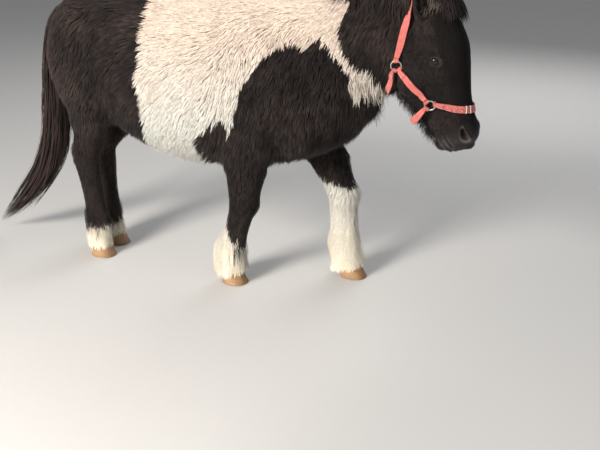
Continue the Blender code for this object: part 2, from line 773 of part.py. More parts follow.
def tail_locks(random_source):
    """Rooted down the dock and on one another: most are swept back to the tip, a few hang straight."""
    made = []
    swept, hanging = spline(TAIL, 101), spline(HANGING_TAIL, 101)
    count = 22
    for k in range(count):
        first = 8 + 54 * (k / (count - 1)) + random_source.uniform(-4, 4)
        last = min(100, first + random_source.uniform(38, 48))
        turn = k * 2.4
        hang = (0, 0, 0.1, 0.4, 0, 1.0)[k % 6] if k > 9 else 0
        points, outward = [], []
        for step in range(6):
            at = int(first + (last - first) * step / 5)
            row = swept[at] * (1 - hang) + hanging[at] * hang
            before = swept[max(at - 3, 0)] * (1 - hang) + hanging[max(at - 3, 0)] * hang
            run = Vector(row[:3]) - Vector(before[:3])
            upward = run.cross(Vector((0, 1, 0))).normalized()
            way = Vector((0, 1, 0)) * math.cos(turn) * row[3] + upward * math.sin(turn) * row[4]
            reach = (0.30, 0.74, 0.86, 0.90, 0.92, 0.98)[step]
            points.append(Vector(row[:3]) + way * reach)
            outward.append(way.normalized())
        made.append(lock(points, random_source.uniform(0.042, 0.056), 0.016, outward))
    return made


def fetlock_locks(surface, joints, count, length, random_source):
    """Feather round the back and sides of a fetlock, hanging over the heel."""
    made = []
    fetlock = Vector(joints[3])
    for k in range(count):
        turn = math.pi + (k / (count - 1) - 0.5) * 4.2 + random_source.uniform(-0.1, 0.1)
        way = Vector((math.cos(turn), math.sin(turn), 0))
        start = fetlock + Vector((0, 0, random_source.uniform(-0.012, 0.030)))
        reach = length * random_source.uniform(0.75, 1.0)
        points, outward = [], []
        for step, out in ((-0.1, -0.012), (0.30, 0.006), (0.66, 0.010), (1.0, 0.014)):
            spot = start + way * 0.12 - Vector((0, 0, reach * step))
            hit = surface.ray_cast(spot, -way)[0]
            points.append(hit + way * out if hit is not None else spot - way * 0.05)
            outward.append(way)
        points[-1].z = max(points[-1].z, 0.006)
        made.append(lock(points, random_source.uniform(0.028, 0.036), 0.011, outward))
    return made


def patch_locks(surface, spots, fall, length, width, random_source):
    """Locks of breast and jaw: each is rooted in the surface at its spot and bends toward the fall."""
    made = []
    for spot in spots:
        near, normal = place_on(surface, spot)
        reach = length * random_source.uniform(0.75, 1.1)
        way = (Vector(fall) + Vector([random_source.uniform(-0.15, 0.15) for _ in range(3)])).normalized()
        points = [near - normal * 0.010, near + normal * 0.005 + way * reach * 0.2]
        for step, clearance in ((0.6, 0.009), (1.0, 0.006)):
            points.append(off_surface(surface, near + way * reach * step, clearance)[0])
        made.append(lock(points, width * random_source.uniform(0.85, 1.1), 0.010, [normal] * 4))
    return made


for old in list(bpy.data.objects):
    bpy.data.objects.remove(old)

# Flesh, melted and parted
torso = body_flesh()
torso.name = "torso"
body_surface = BVHTree.FromObject(torso, bpy.context.evaluated_depsgraph_get())
skull = head_flesh()
skull.name = "head"

legs, hooves = {}, {}
feather_source = random.Random(3)
for side, word in ((-1, "right"), (1, "left")):
    shift = 0.050 if side > 0 else -0.010
    for kind, joints, *block in (
        ("foreleg", FORE_JOINTS[side], (FORE_JOINTS[side][1][0] + shift, 0.150, 0.428), 0.115, 0.25, 0.42),
        ("hindleg", HIND_JOINTS[side], (-0.355, 0.125, 0.487), 0.170, -0.45, 0.30),
    ):
        legs[kind, side] = split(torso, lambda extra: leg_block(*block, side, extra), kind + "_" + word)
        foot = (joints[-1][0] + 0.008, joints[-1][1])
        hooves[kind, side] = hoof("hoof_" + kind[:4] + "_" + word, foot, side)
        feather = (8, 0.085) if kind == "foreleg" else (5, 0.060)
        leg_surface = BVHTree.FromObject(legs[kind, side], bpy.context.evaluated_depsgraph_get())
        fuse(legs[kind, side], fetlock_locks(leg_surface, joints, *feather, feather_source))
        clear_of(legs[kind, side], [hooves[kind, side]], GAP * 1.3)
neck_piece = split(torso, lambda extra: block_ahead(*NECK_CUT, extra * 1.3), "neck")
cut(neck_piece, block_ahead(*POLL_CUT, GAP * 1.3))
largest(neck_piece)
crown_surface = BVHTree.FromObject(skull, bpy.context.evaluated_depsgraph_get())
cut(skull, block_ahead(*POLL_CUT), "INTERSECT")
largest(skull)
sealed_head = copy_of(skull, "sealed_head")
open_head(skull)
for side, word in ((-1, "right"), (1, "left")):
    ball("eye_" + word, on_head(*EYE, side * EYE_SIDE), (EYE_RADIUS,) * 3, rings=7)
ears = [clear_of(ear(side), [sealed_head]) for side in (-1, 1)]

# The halter: rings, then each run of webbing from ring to ring
rings = {}
for side, word in ((-1, "right"), (1, "left")):
    for kind, along, out in (("cheek", 0.161, -0.104), ("nose", 0.296, -0.048)):
        spot, normal = place_on(crown_surface, on_head(along, out, side * 0.09))
        middle = spot + normal * 0.0076
        rings[kind, side] = (middle, normal)
        torus("ring_" + kind + "_" + word, middle, normal, RING_RADIUS, RING_WIRE)


def ring_end(kind, side, along, out, reach=1.25):
    """A point just outside a ring, toward a place on the head."""
    middle, normal = rings[kind, side]
    way = on_head(along, out, side * 0.08) - middle
    way = (way - normal * way.dot(normal)).normalized()
    return middle + way * RING_RADIUS * reach, (middle, normal, way)


def finish_strap(shape, kinds):
    for kind, side in kinds:
        middle, normal = rings[kind, side]
        cut(shape, torus("wire", middle, normal, RING_RADIUS, RING_WIRE + 0.0007))
    return clear_of(shape, [sealed_head, neck_piece], 0.0004)


start, loop_a = ring_end("cheek", -1, 0.05, -0.075)
end, loop_b = ring_end("cheek", 1, 0.05, -0.075)
over = [(0.672, 0.090, 0.795), (0.684, 0.090, 0.855), (0.689, 0.070, 0.915), (0.689, 0.036, 0.955)]
path = [start] + [(x, -y, z) for x, y, z in over] + [(0.689, 0.0, 0.965)] + over[::-1] + [end]
crown = strap("halter_crown", crown_surface, path, 23, (loop_a, loop_b))
finish_strap(crown, (("cheek", -1), ("cheek", 1)))
for shape in ears:
    clear_of(shape, [crown], 0.0012)
for side, word in ((-1, "right"), (1, "left")):
    start, loop_a = ring_end("cheek", side, 0.285, -0.04)
    end, loop_b = ring_end("nose", side, 0.165, -0.095)
    made = strap("halter_cheek_" + word, crown_surface, [start, (start + end) / 2, end], 10, (loop_a, loop_b))
    finish_strap(made, (("cheek", side), ("nose", side)))
start, loop_a = ring_end("nose", -1, 0.306, 0.03)
end, loop_b = ring_end("nose", 1, 0.306, 0.03)
path = [start, on_head(0.312, 0.020, -0.07), on_head(0.322, 0.070, -0.035), on_head(0.325, 0.085, 0)]
path = path + [on_head(0.322, 0.070, 0.035), on_head(0.312, 0.020, 0.07), end]
noseband = strap("halter_noseband", crown_surface, path, 17, (loop_a, loop_b))
finish_strap(noseband, (("nose", -1), ("nose", 1)))
start, loop_a = ring_end("nose", -1, 0.330, -0.09)
end, loop_b = ring_end("nose", 1, 0.330, -0.09)
path = [start, on_head(0.312, -0.096, -0.056), on_head(0.322, -0.132, 0), on_head(0.312, -0.096, 0.056), end]
chin_strap = strap("halter_chin", crown_surface, path, 13, (loop_a, loop_b), on_head(0.312, -0.050))
finish_strap(chin_strap, (("nose", -1), ("nose", 1)))
start, loop_a = ring_end("cheek", -1, 0.230, -0.150)
end, loop_b = ring_end("cheek", 1, 0.230, -0.150)
path = [start, on_head(0.212, -0.142, -0.066), on_head(0.232, -0.176, 0), on_head(0.212, -0.142, 0.066), end]
throat = strap("halter_throat", crown_surface, path, 13, (loop_a, loop_b), on_head(0.200, -0.080))
finish_strap(throat, (("cheek", -1), ("cheek", 1)))

# Long hair: a core for each, its locks, one union, then what it lies on taken out
hair_source = random.Random(7)
tail = fuse(plain_tube("tail", TAIL[:5], 10, 8), tail_locks(hair_source))
clear_of(tail, [torso])
mane = fuse(plain_tube("mane", MANE_CORE, 10, 10), mane_locks((body_surface, crown_surface), hair_source))
clear_of(mane, [neck_piece, sealed_head, torso, crown] + ears)
forelock = fuse(plain_tube("forelock", FORELOCK_CORE, 10, 6), forelock_locks(crown_surface, hair_source))
clear_of(forelock, [sealed_head, crown] + ears)

# Shorter hair that hangs from the breast and under the jaw, rooted in neck and head
spots = [Vector((0.600, y, 0.688)) for y in (-0.051, -0.017, 0.017, 0.051)]
spots += [Vector((0.592, y, 0.652)) for y in (-0.036, 0.0, 0.036)]
fuse(neck_piece, patch_locks(body_surface, spots, (0.15, 0, -1), 0.068, 0.036, hair_source))
clear_of(neck_piece, [torso, throat])
spots = [on_head(along, -0.150, y) for along in (0.250, 0.280, 0.312, 0.344) for y in (-0.017, 0.017)]
fuse(skull, patch_locks(crown_surface, spots, (-0.05, 0, -1), 0.044, 0.030, hair_source))
clear_of(skull, [chin_strap, throat])
drop(sealed_head)

COLOURS = {
    "hoof": ((0.30, 0.17, 0.10), 0.45, 0.0),
    "eye": ((0.020, 0.012, 0.008), 0.10, 0.0),
    "halter": ((0.80, 0.22, 0.20), 0.75, 0.0),
    "ring": ((0.62, 0.62, 0.64), 0.30, 1.0),
    "neck": ((0.022, 0.017, 0.015), 0.85, 0.0),
    "head": ((0.022, 0.017, 0.015), 0.85, 0.0),
    "ear": ((0.022, 0.017, 0.015), 0.85, 0.0),
    "torso": ((0.74, 0.68, 0.58), 0.90, 0.0),
    "foreleg": ((0.72, 0.68, 0.60), 0.90, 0.0),
    "hindleg": ((0.024, 0.018, 0.015), 0.85, 0.0),
    "mane": ((0.020, 0.015, 0.012), 0.80, 0.0),
    "forelock": ((0.026, 0.019, 0.015), 0.80, 0.0),
    "tail": ((0.030, 0.020, 0.015), 0.80, 0.0),
}
for shape in list(bpy.context.scene.collection.objects):
    colour, rough, metal = COLOURS[shape.name.split("_")[0]]
    paint = bpy.data.materials.new(shape.name)
    paint.use_nodes = True
    surface = paint.node_tree.nodes["Principled BSDF"]
    surface.inputs["Base Color"].default_value = (*colour, 1)
    surface.inputs["Roughness"].default_value = rough
    surface.inputs["Metallic"].default_value = metal
    shape.data.materials.clear()
    shape.data.materials.append(paint)
    shape.data.name = shape.name
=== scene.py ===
"""The looks of a piebald Shetland pony in winter coat and webbing halter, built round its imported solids."""

import math

import bmesh
import bpy
import numpy as np
from mathutils import Matrix, Vector
from mathutils.bvhtree import BVHTree
from mathutils.kdtree import KDTree


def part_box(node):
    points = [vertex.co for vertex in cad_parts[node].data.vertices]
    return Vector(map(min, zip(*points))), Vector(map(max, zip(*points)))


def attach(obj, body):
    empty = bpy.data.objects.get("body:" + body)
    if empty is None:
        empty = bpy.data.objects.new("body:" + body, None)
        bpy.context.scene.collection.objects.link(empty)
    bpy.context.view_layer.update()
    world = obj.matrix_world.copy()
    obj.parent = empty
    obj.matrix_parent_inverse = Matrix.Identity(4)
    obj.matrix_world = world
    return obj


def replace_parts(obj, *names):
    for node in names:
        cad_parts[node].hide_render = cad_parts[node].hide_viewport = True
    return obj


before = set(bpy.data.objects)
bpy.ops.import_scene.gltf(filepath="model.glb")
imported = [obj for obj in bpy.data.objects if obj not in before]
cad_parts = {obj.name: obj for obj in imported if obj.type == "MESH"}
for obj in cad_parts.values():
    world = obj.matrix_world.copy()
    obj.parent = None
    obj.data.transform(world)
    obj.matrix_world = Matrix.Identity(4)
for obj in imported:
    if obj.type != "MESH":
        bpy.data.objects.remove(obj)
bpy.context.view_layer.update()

# The skin: hide over muscle and bone, from poll to fetlocks in one piece.
# Limb by limb it is lofted from the solids' own sizes, melted together, and drawn in by the coat's depth.
# The head is melted on a finer grid, for lids, nostrils and lips.
BODY_GRID = 0.0092
HEAD_GRID = 0.0028
WITHERS = 0.97
BARREL_HALF = 0.235
HEAD_LENGTH = 0.447
HEAD_TILT = math.radians(17)

# Along the trunk: x, top, widest height, bottom, half width, squareness above and below
TRUNK = (
    (-0.498, 0.850, 0.745, 0.660, 0.045, 2.0, 2.0),
    (-0.460, 0.905, 0.720, 0.590, 0.120, 2.0, 2.0),
    (-0.390, 0.948, 0.700, 0.535, 0.185, 2.0, 2.0),
    (-0.290, 0.965, 0.690, 0.485, 0.215, 2.0, 2.0),
    (-0.160, 0.950, 0.665, 0.420, 0.228, 2.1, 2.1),
    (-0.010, 0.930, 0.655, 0.388, BARREL_HALF, 2.1, 2.2),
    (0.130, 0.938, 0.655, 0.390, 0.222, 2.0, 2.2),
    (0.270, WITHERS, 0.660, 0.408, 0.192, 1.8, 2.2),
    (0.380, 0.950, 0.670, 0.435, 0.175, 1.8, 2.2),
    (0.480, 0.870, 0.655, 0.485, 0.145, 2.0, 2.1),
    (0.548, 0.750, 0.635, 0.545, 0.080, 2.0, 2.0),
)
# Along the neck: x and z of its middle, lean of the ring, half width, height above and below
NECK = (
    (0.300, 0.760, 0.10, 0.150, 0.190, 0.200),
    (0.380, 0.790, 0.25, 0.135, 0.185, 0.190),
    (0.470, 0.820, 0.38, 0.112, 0.170, 0.195),
    (0.560, 0.835, 0.42, 0.098, 0.152, 0.188),
    (0.640, 0.835, 0.35, 0.086, 0.132, 0.165),
    (0.705, 0.820, 0.22, 0.076, 0.095, 0.120),
)
# Along the head from the poll: face side, jaw side, half width, squareness of face and jaw
HEAD = (
    (-0.010, 0.030, 0.060, 0.045, 2.0, 2.0),
    (0.035, 0.062, 0.088, 0.066, 2.0, 2.0),
    (0.090, 0.080, 0.112, 0.074, 2.3, 2.0),
    (0.150, 0.087, 0.132, 0.079, 2.6, 1.9),
    (0.200, 0.080, 0.142, 0.078, 2.6, 1.8),
    (0.245, 0.071, 0.136, 0.066, 2.5, 1.8),
    (0.295, 0.062, 0.112, 0.054, 2.4, 1.9),
    (0.345, 0.059, 0.090, 0.049, 2.4, 2.0),
    (0.390, 0.062, 0.072, 0.051, 2.4, 2.1),
    (0.420, 0.053, 0.060, 0.048, 2.3, 2.2),
    (HEAD_LENGTH - 0.006, 0.026, 0.040, 0.030, 2.1, 2.1),
)
POLL = Vector((0.715, 0, 0.925))
ALONG_HEAD = Vector((math.sin(HEAD_TILT), 0, -math.cos(HEAD_TILT)))
OUT_OF_FACE = Vector((math.cos(HEAD_TILT), 0, math.sin(HEAD_TILT)))
EYE = (0.172, 0.004)
EYE_SIDE = 0.0625
EYE_RADIUS = 0.0170
LID_RADIUS, LASH_RADIUS = 0.0186, 0.0183

# The joints down each leg, shoulder or hip to hoof, by side: -1 right, 1 left
FORE_JOINTS = {
    -1: ((0.300, -0.115, 0.620), (0.215, -0.125, 0.475), (0.186, -0.100, 0.275), (0.140, -0.096, 0.115),
         (0.131, -0.096, 0.035)),
    1: ((0.360, 0.115, 0.620), (0.345, 0.125, 0.475), (0.448, 0.100, 0.290), (0.462, 0.098, 0.115),
        (0.474, 0.097, 0.035)),
}
HIND_JOINTS = {
    -1: ((-0.360, -0.120, 0.720), (-0.330, -0.135, 0.580), (-0.412, -0.085, 0.362), (-0.392, -0.068, 0.125),
         (-0.402, -0.064, 0.035)),
    1: ((-0.360, 0.120, 0.720), (-0.325, 0.135, 0.580), (-0.445, 0.068, 0.362), (-0.434, 0.058, 0.125),
        (-0.422, 0.056, 0.035)),
}
SIDES = ((-1, "right"), (1, "left"))
# Down a leg: which joint and how far on to the next, then forward, backward and sideways half sizes
FORE_SIZES = (
    (0, 0.0, 0.095, 0.105, 0.075),
    (0, 0.6, 0.088, 0.100, 0.072),
    (1, 0.0, 0.078, 0.088, 0.064),
    (1, 0.4, 0.066, 0.070, 0.053),
    (1, 0.8, 0.051, 0.056, 0.044),
    (2, 0.0, 0.052, 0.051, 0.043),
    (2, 0.25, 0.040, 0.046, 0.036),
    (2, 0.6, 0.036, 0.046, 0.034),
    (2, 0.85, 0.039, 0.052, 0.037),
    (3, 0.0, 0.042, 0.056, 0.040),
    (3, 0.5, 0.042, 0.050, 0.041),
    (4, 0.0, 0.050, 0.046, 0.047),
)
HIND_SIZES = (
    (0, 0.0, 0.120, 0.105, 0.085),
    (0, 0.5, 0.125, 0.112, 0.088),
    (1, 0.0, 0.108, 0.110, 0.080),
    (1, 0.35, 0.074, 0.078, 0.062),
    (1, 0.75, 0.050, 0.052, 0.044),
    (2, 0.0, 0.046, 0.052, 0.041),
    (2, 0.2, 0.039, 0.046, 0.036),
    (2, 0.6, 0.035, 0.041, 0.032),
    (2, 0.85, 0.038, 0.046, 0.034),
    (3, 0.0, 0.042, 0.050, 0.038),
    (3, 0.5, 0.041, 0.044, 0.038),
    (4, 0.0, 0.049, 0.046, 0.046),
)


def on_head(along, out, side=0.0):
    """A point named by its distance along the head, out of the face and to the left."""
    return POLL + ALONG_HEAD * along + OUT_OF_FACE * out + Vector((0, side, 0))


def spline(rows, count):
    """Rows of numbers, passed through by a smooth curve and read at count even places."""
    rows = np.array(rows, float)
    padded = np.vstack([2 * rows[0] - rows[1], rows, 2 * rows[-1] - rows[-2]])
    read = []
    for place in np.linspace(0, len(rows) - 1, count):
        k = min(int(place), len(rows) - 2)
        t = place - k
        a, b, c, d = padded[k : k + 4]
        bend = (2 * a - 5 * b + 4 * c - d) * t**2 + (3 * b - a - 3 * c + d) * t**3
        read.append(0.5 * (2 * b + (c - a) * t + bend))
    return np.array(read)


def section(centre, across, upward, half, top, bottom, top_power, bottom_power, corners):
    """One ring of points: its upper and lower halves have their own heights and squareness."""
    ring = []
    for k in range(corners):
        turn = 2 * math.pi * k / corners
        c, s = math.cos(turn), math.sin(turn)
        power, height = (top_power, top) if s > 0 else (bottom_power, bottom)
        side = half * math.copysign(abs(c) ** (2 / power), c)
        rise = height * math.copysign(abs(s) ** (2 / power), s)
        ring.append(Vector(centre) + Vector(across) * side + Vector(upward) * rise)
    return ring


def object_of(name, mesh):
    """A new object in the scene from a bmesh."""
    data = bpy.data.meshes.new(name)
    mesh.to_mesh(data)
    mesh.free()
    made = bpy.data.objects.new(name, data)
    bpy.context.scene.collection.objects.link(made)
    return made


def wall(mesh, rings, ends=True):
    """Faces from each ring of a mesh's points to the next, and over both ends."""
    for low, high in zip(rings, rings[1:]):
        for k in range(len(low)):
            n = (k + 1) % len(low)
            mesh.faces.new((low[k], low[n], high[n], high[k]))
    if ends:
        mesh.faces.new(rings[0])
        mesh.faces.new(rings[-1])


def loft(rings):
    """A closed shape through rings of the same number of points."""
    mesh = bmesh.new()
    wall(mesh, [[mesh.verts.new(p) for p in ring] for ring in rings])
    bmesh.ops.recalc_face_normals(mesh, faces=mesh.faces)
    return object_of("form", mesh)


def ball(centre, radii, lean=0.0):
    """An ellipsoid, leant about the left-right axis."""
    mesh = bmesh.new()
    place = Matrix.Translation(Vector(centre)) @ Matrix.Rotation(lean, 4, "Y") @ Matrix.Diagonal((*radii, 1))
    bmesh.ops.create_uvsphere(mesh, u_segments=32, v_segments=18, radius=1, matrix=place)
    return object_of("ball", mesh)


def settle(shape):
    """The object with its modifiers applied."""
    graph = bpy.context.evaluated_depsgraph_get()
    done = bpy.data.meshes.new_from_object(shape.evaluated_get(graph))
    shape.modifiers.clear()
    shape.data = done
    return shape


def drop(*objects):
    """Rough forms are thrown away once they are used."""
    for gone in objects:
        bpy.data.objects.remove(gone)


def boolean(shape, other, operation):
    """The shape joined with, cut by or kept within the other, which is used up."""
    step = shape.modifiers.new("boolean", "BOOLEAN")
    step.operation, step.solver, step.object = operation, "MANIFOLD", other
    settle(shape)
    drop(other)
    return shape


def melted(pieces, grid, soften):
    """Crossing forms made one smooth closed skin."""
    mesh = bmesh.new()
    for piece in pieces:
        mesh.from_mesh(piece.data)
    drop(*pieces)
    shape = object_of("melt", mesh)
    remesh = shape.modifiers.new("melt", "REMESH")
    remesh.mode, remesh.voxel_size = "VOXEL", grid
    smooth = shape.modifiers.new("soften", "SMOOTH")
    smooth.factor, smooth.iterations = 0.5, soften
    return settle(shape)


def trunk_form():
    """The barrel, from tail to breast."""
    rings = []
    for x, top, wide, bottom, half, above, below in spline(TRUNK, 50):
        heights = top - wide, wide - bottom
        rings.append(section((x, 0, wide), (0, 1, 0), (0, 0, 1), half, *heights, above, below, 48))
    return loft(rings)


def neck_form():
    """The neck, from withers to poll."""
    rings = []
    for x, z, lean, half, above, below in spline(NECK, 24):
        upward = Vector((-math.sin(lean), 0, math.cos(lean)))
        rings.append(section((x, 0, z), (0, 1, 0), upward, half, above, below, 1.9, 2.0, 48))
    return loft(rings)


def leg_form(joints, sizes):
    """One leg, through its joints."""
    joints = [Vector(j) for j in joints]
    rows = []
    for joint, share, ahead, behind, side in sizes:
        place = joints[joint] if share == 0 else joints[joint].lerp(joints[joint + 1], share)
        rows.append((*place, ahead, behind, side))
    rows = spline(rows, 60)
    rings = []
    for k, (x, y, z, ahead, behind, side) in enumerate(rows):
        before, after = rows[max(k - 1, 0)][:3], rows[min(k + 1, len(rows) - 1)][:3]
        down = (Vector(after) - Vector(before)).normalized()
        forward = (down.cross(Vector((0, 1, 0))).normalized() + Vector((1, 0, 0))).normalized()
        rings.append(section((x, y, z), (0, 1, 0), forward, side, ahead, behind, 2.1, 2.1, 32))
    return loft(rings)


def body_forms():
    """Trunk, neck, breast, legs, shoulders, elbows, haunches and the points of the hocks."""
    pieces = [trunk_form(), neck_form(), ball((0.512, 0, 0.630), (0.072, 0.095, 0.085))]
    for side in (-1, 1):
        fore, hock = FORE_JOINTS[side], HIND_JOINTS[side][2]
        pieces.append(leg_form(fore, FORE_SIZES))
        pieces.append(leg_form(HIND_JOINTS[side], HIND_SIZES))
        pieces.append(ball((0.330, side * 0.112, 0.665), (0.120, 0.085, 0.210), -0.35))
        pieces.append(ball((fore[1][0] + 0.02, side * 0.120, 0.530), (0.105, 0.070, 0.110)))
        pieces.append(ball((-0.345, side * 0.118, 0.715), (0.145, 0.098, 0.200), 0.1))
        pieces.append(ball((hock[0] - 0.030, hock[1], hock[2] + 0.020), (0.026, 0.024, 0.042)))
    return pieces


def ear_form(side):
    """A short cupped ear, leant out and a little forward, its hollow open to the front and side."""
    way = (ALONG_HEAD * -0.90 + Vector((0, side * 0.36, 0)) + OUT_OF_FACE * 0.06).normalized()
    opening = (OUT_OF_FACE * 0.80 + Vector((0, side * 0.60, 0))).normalized()
    opening = (opening - way * opening.dot(way)).normalized()
    across = way.cross(opening)
    root = on_head(0.066, -0.004, side * 0.046)
    shell = (
        (0.000, 0.018, 0.016, 0.000),
        (0.026, 0.024, 0.019, 0.000),
        (0.052, 0.026, 0.018, 0.001),
        (0.078, 0.022, 0.014, 0.004),
        (0.100, 0.014, 0.010, 0.009),
        (0.118, 0.003, 0.003, 0.014),
    )
    hollow = (
        (0.026, 0.004, 0.006, 0.016),
        (0.046, 0.019, 0.021, 0.017),
        (0.078, 0.018, 0.018, 0.018),
        (0.110, 0.004, 0.008, 0.021),
    )
    forms = []
    for rows in (shell, hollow):
        rings = []
        for up, half, deep, bend in spline(rows, 16):
            middle = root + way * up + opening * bend
            rings.append(section(middle, across, opening, half, deep, deep, 2, 2, 24))
        forms.append(loft(rings))
    return boolean(*forms, "DIFFERENCE")


def head_forms():
    """Skull, poll, lips, chin, ears, cheeks, brows, nostrils and the crests of the cheekbones."""
    rings = []
    for along, face, jaw, half, face_power, jaw_power in spline(HEAD, 60):
        sizes = half, face, jaw, face_power, jaw_power
        rings.append(section(on_head(along, 0), (0, 1, 0), OUT_OF_FACE, *sizes, 56))
    pieces = [loft(rings), neck_form(), ball((0.682, 0, 0.888), (0.060, 0.050, 0.068))]
    pieces.append(ball(on_head(0.418, 0.006), (0.040, 0.040, 0.022), HEAD_TILT))
    pieces.append(ball(on_head(0.414, -0.050), (0.024, 0.034, 0.022), HEAD_TILT))
    for side in (-1, 1):
        pieces.append(ear_form(side))
        pieces.append(ball(on_head(0.190, -0.060, side * 0.046), (0.064, 0.036, 0.074), HEAD_TILT))
        pieces.append(ball(on_head(0.148, 0.010, side * 0.058), (0.038, 0.024, 0.028), HEAD_TILT))
        pieces.append(ball(on_head(0.392, 0.028, side * 0.036), (0.030, 0.020, 0.034), HEAD_TILT))
        pieces.append(ball(on_head(0.232, -0.022, side * 0.0545), (0.008, 0.012, 0.062), HEAD_TILT + 0.05))
    return pieces


def points_of(shape, field="co"):
    """Where a mesh's points lie, or with "normal" the ways they face."""
    values = np.empty(len(shape.data.vertices) * 3, np.float32)
    shape.data.vertices.foreach_get(field, values)
    return values.reshape(-1, 3).astype(float)


def set_points(shape, points):
    """Moves a mesh's points."""
    shape.data.vertices.foreach_set("co", points.astype(np.float32).ravel())
    shape.data.update()


def ease(values):
    """0 below 0, 1 above 1, and smooth between."""
    t = np.clip(values, 0, 1)
    return t * t * (3 - 2 * t)


def dots(points, way):
    """How far along one way each point lies."""
    return points @ np.array(way, float)


def head_places(points):
    """Along the head, out of the face and to the left, of each point."""
    from_poll = points - np.array(POLL)
    return dots(from_poll, ALONG_HEAD), dots(from_poll, OUT_OF_FACE), points[:, 1]


def headness(points):
    """0 on the neck and body, 1 on the head."""
    return ease((points[:, 0] - 0.612 - 0.0867 * (points[:, 2] - 0.48) + 0.010) / 0.045)


LEG_LINES = [np.array(joints[side]) for joints in (FORE_JOINTS, HIND_JOINTS) for side in (-1, 1)]


def off_leg(points, line):
    """How far ahead and to the left of a leg's line each point is, at its own height."""
    return [points[:, k] - np.interp(-points[:, 2], -line[:, 2], line[:, k]) for k in (0, 1)]


def nearest_leg(points):
    """Which leg's line is nearest at that height, and how far off it is."""
    far = np.array([np.hypot(*off_leg(points, line)) for line in LEG_LINES])
    return far.argmin(0), far.min(0)


def legness(points):
    """0 on the body, 1 down the legs."""
    _, far = nearest_leg(points)
    return ease((0.112 - far) / 0.03) * ease((0.47 - points[:, 2]) / 0.09)


def coat_depth(points):
    """How deep the coat lies over the skin."""
    along, out, _ = head_places(points)
    depth = 0.0130 + 0.0050 * ease((0.52 - points[:, 2]) / 0.1) - 0.0050 * ease((points[:, 2] - 0.80) / 0.12)
    depth = depth + (0.0050 - depth) * legness(points)
    face = 0.0024 - 0.0014 * ease((along - 0.33) / 0.05) + 0.0030 * ease((-0.07 - out) / 0.05)
    ears = ease((0.03 - along) / 0.03)
    face = face + (0.0012 - face) * ears
    eye = np.hypot(along - EYE[0], out - EYE[1])
    face = face * (1 - 0.5 * np.exp(-((eye / 0.030) ** 2)))
    return depth + (face - depth) * headness(points)


def near_line(a, b, line):
    """Distance in a plane from each place (a, b) to a line of points."""
    best = np.full(len(a), 9.0)
    for (a0, b0), (a1, b1) in zip(line, line[1:]):
        length = (a1 - a0) ** 2 + (b1 - b0) ** 2
        t = np.clip(((a - a0) * (a1 - a0) + (b - b0) * (b1 - b0)) / length, 0, 1)
        best = np.minimum(best, np.hypot(a - a0 - t * (a1 - a0), b - b0 - t * (b1 - b0)))
    return best


# Lines pressed into the face, as places along the head and out of it: depth and half width
MOUTH = ((0.382, -0.050), (0.408, -0.044), (0.430, -0.028), (0.450, -0.010))
FACE_LINES = (
    (MOUTH, 0.0060, 0.0022),
    (((0.352, -0.040), (0.374, -0.046), (0.398, -0.040)), 0.0024, 0.0026),
    (((0.350, -0.024), (0.378, -0.031), (0.404, -0.024), (0.424, -0.014)), 0.0024, 0.0028),
    (((0.362, -0.058), (0.380, -0.066), (0.396, -0.068)), 0.0018, 0.0026),
    (((0.350, 0.010), (0.362, 0.022), (0.366, 0.040)), 0.0020, 0.0036),
)
NOSTRIL = (0.3950, 0.0310)
NOSTRIL_HALF = (0.0215, 0.0098)
NOSTRIL_TURN = math.radians(10)


def nostril_reach(along, out):
    """1 on the nostril's edge, less inside it. It is a comma, fuller at the lower end."""
    a, b = along - NOSTRIL[0], out - NOSTRIL[1]
    c, s = math.cos(NOSTRIL_TURN), math.sin(NOSTRIL_TURN)
    run, lift = a * c + b * s, b * c - a * s
    lift = lift - 10.0 * run**2 + 0.002
    return np.hypot(run / NOSTRIL_HALF[0], lift / (NOSTRIL_HALF[1] * (1 + 0.35 * run / NOSTRIL_HALF[0])))


def shape_face(points, normals):
    """Mouth, wrinkles, nostrils and the sockets pressed into the head's skin."""
    along, out, side = head_places(points)
    on = headness(points)
    drawn = -normals * coat_depth(points)[:, None]
    for line, depth, wide in FACE_LINES:
        press = depth * np.exp(-((near_line(along, out, line) / wide) ** 2)) * on
        lip = 0.25 * depth * np.exp(-(((near_line(along, out, line) - 2.6 * wide) / wide) ** 2)) * on
        drawn += normals * (lip - press)[:, None]
    reach = nostril_reach(along, out)
    beside = on * ease((np.abs(side) - 0.018) / 0.008)
    rim = 0.0022 * np.exp(-(((reach - 1.35) / 0.28) ** 2)) * beside
    pit = 0.0170 * ease((1.12 - reach) / 0.50) * beside
    inward = np.stack([-0.12 * np.ones(len(side)), -np.sign(side), 0.38 * np.ones(len(side))], 1)
    drawn += normals * rim[:, None] + inward * pit[:, None]
    moved = points + drawn
    for eye_side in (-1, 1):
        middle = np.array(on_head(*EYE, eye_side * EYE_SIDE))
        off = moved - middle
        far = np.linalg.norm(off, axis=1)
        sink = ease((0.0235 - far) / 0.006) * (off[:, 1] * eye_side > -0.004)
        moved += (off / far[:, None]) * ((0.0120 - far) * sink)[:, None]
    return moved


def eye_frame(side):
    """The eye's middle, and the ways along its slit, up and out of it."""
    middle = np.array(on_head(*EYE, side * EYE_SIDE))
    outward = np.array((0.10, side, 0.05)) / math.hypot(0.10, 1, 0.05)
    slit = np.array((math.cos(0.30), 0, -math.sin(0.30)))
    slit -= outward * slit.dot(outward)
    slit /= np.linalg.norm(slit)
    up = np.cross(outward, slit)
    return middle, slit, up if up[2] > 0 else -up, outward


# The half-closed slit of the eye, and how far round it the lids reach, half along and half up
SLIT_HALF = 0.0146
SLIT_ABOVE, SLIT_BELOW = 0.0040, 0.0042
LIDS_HALF = (0.0285, 0.0255)


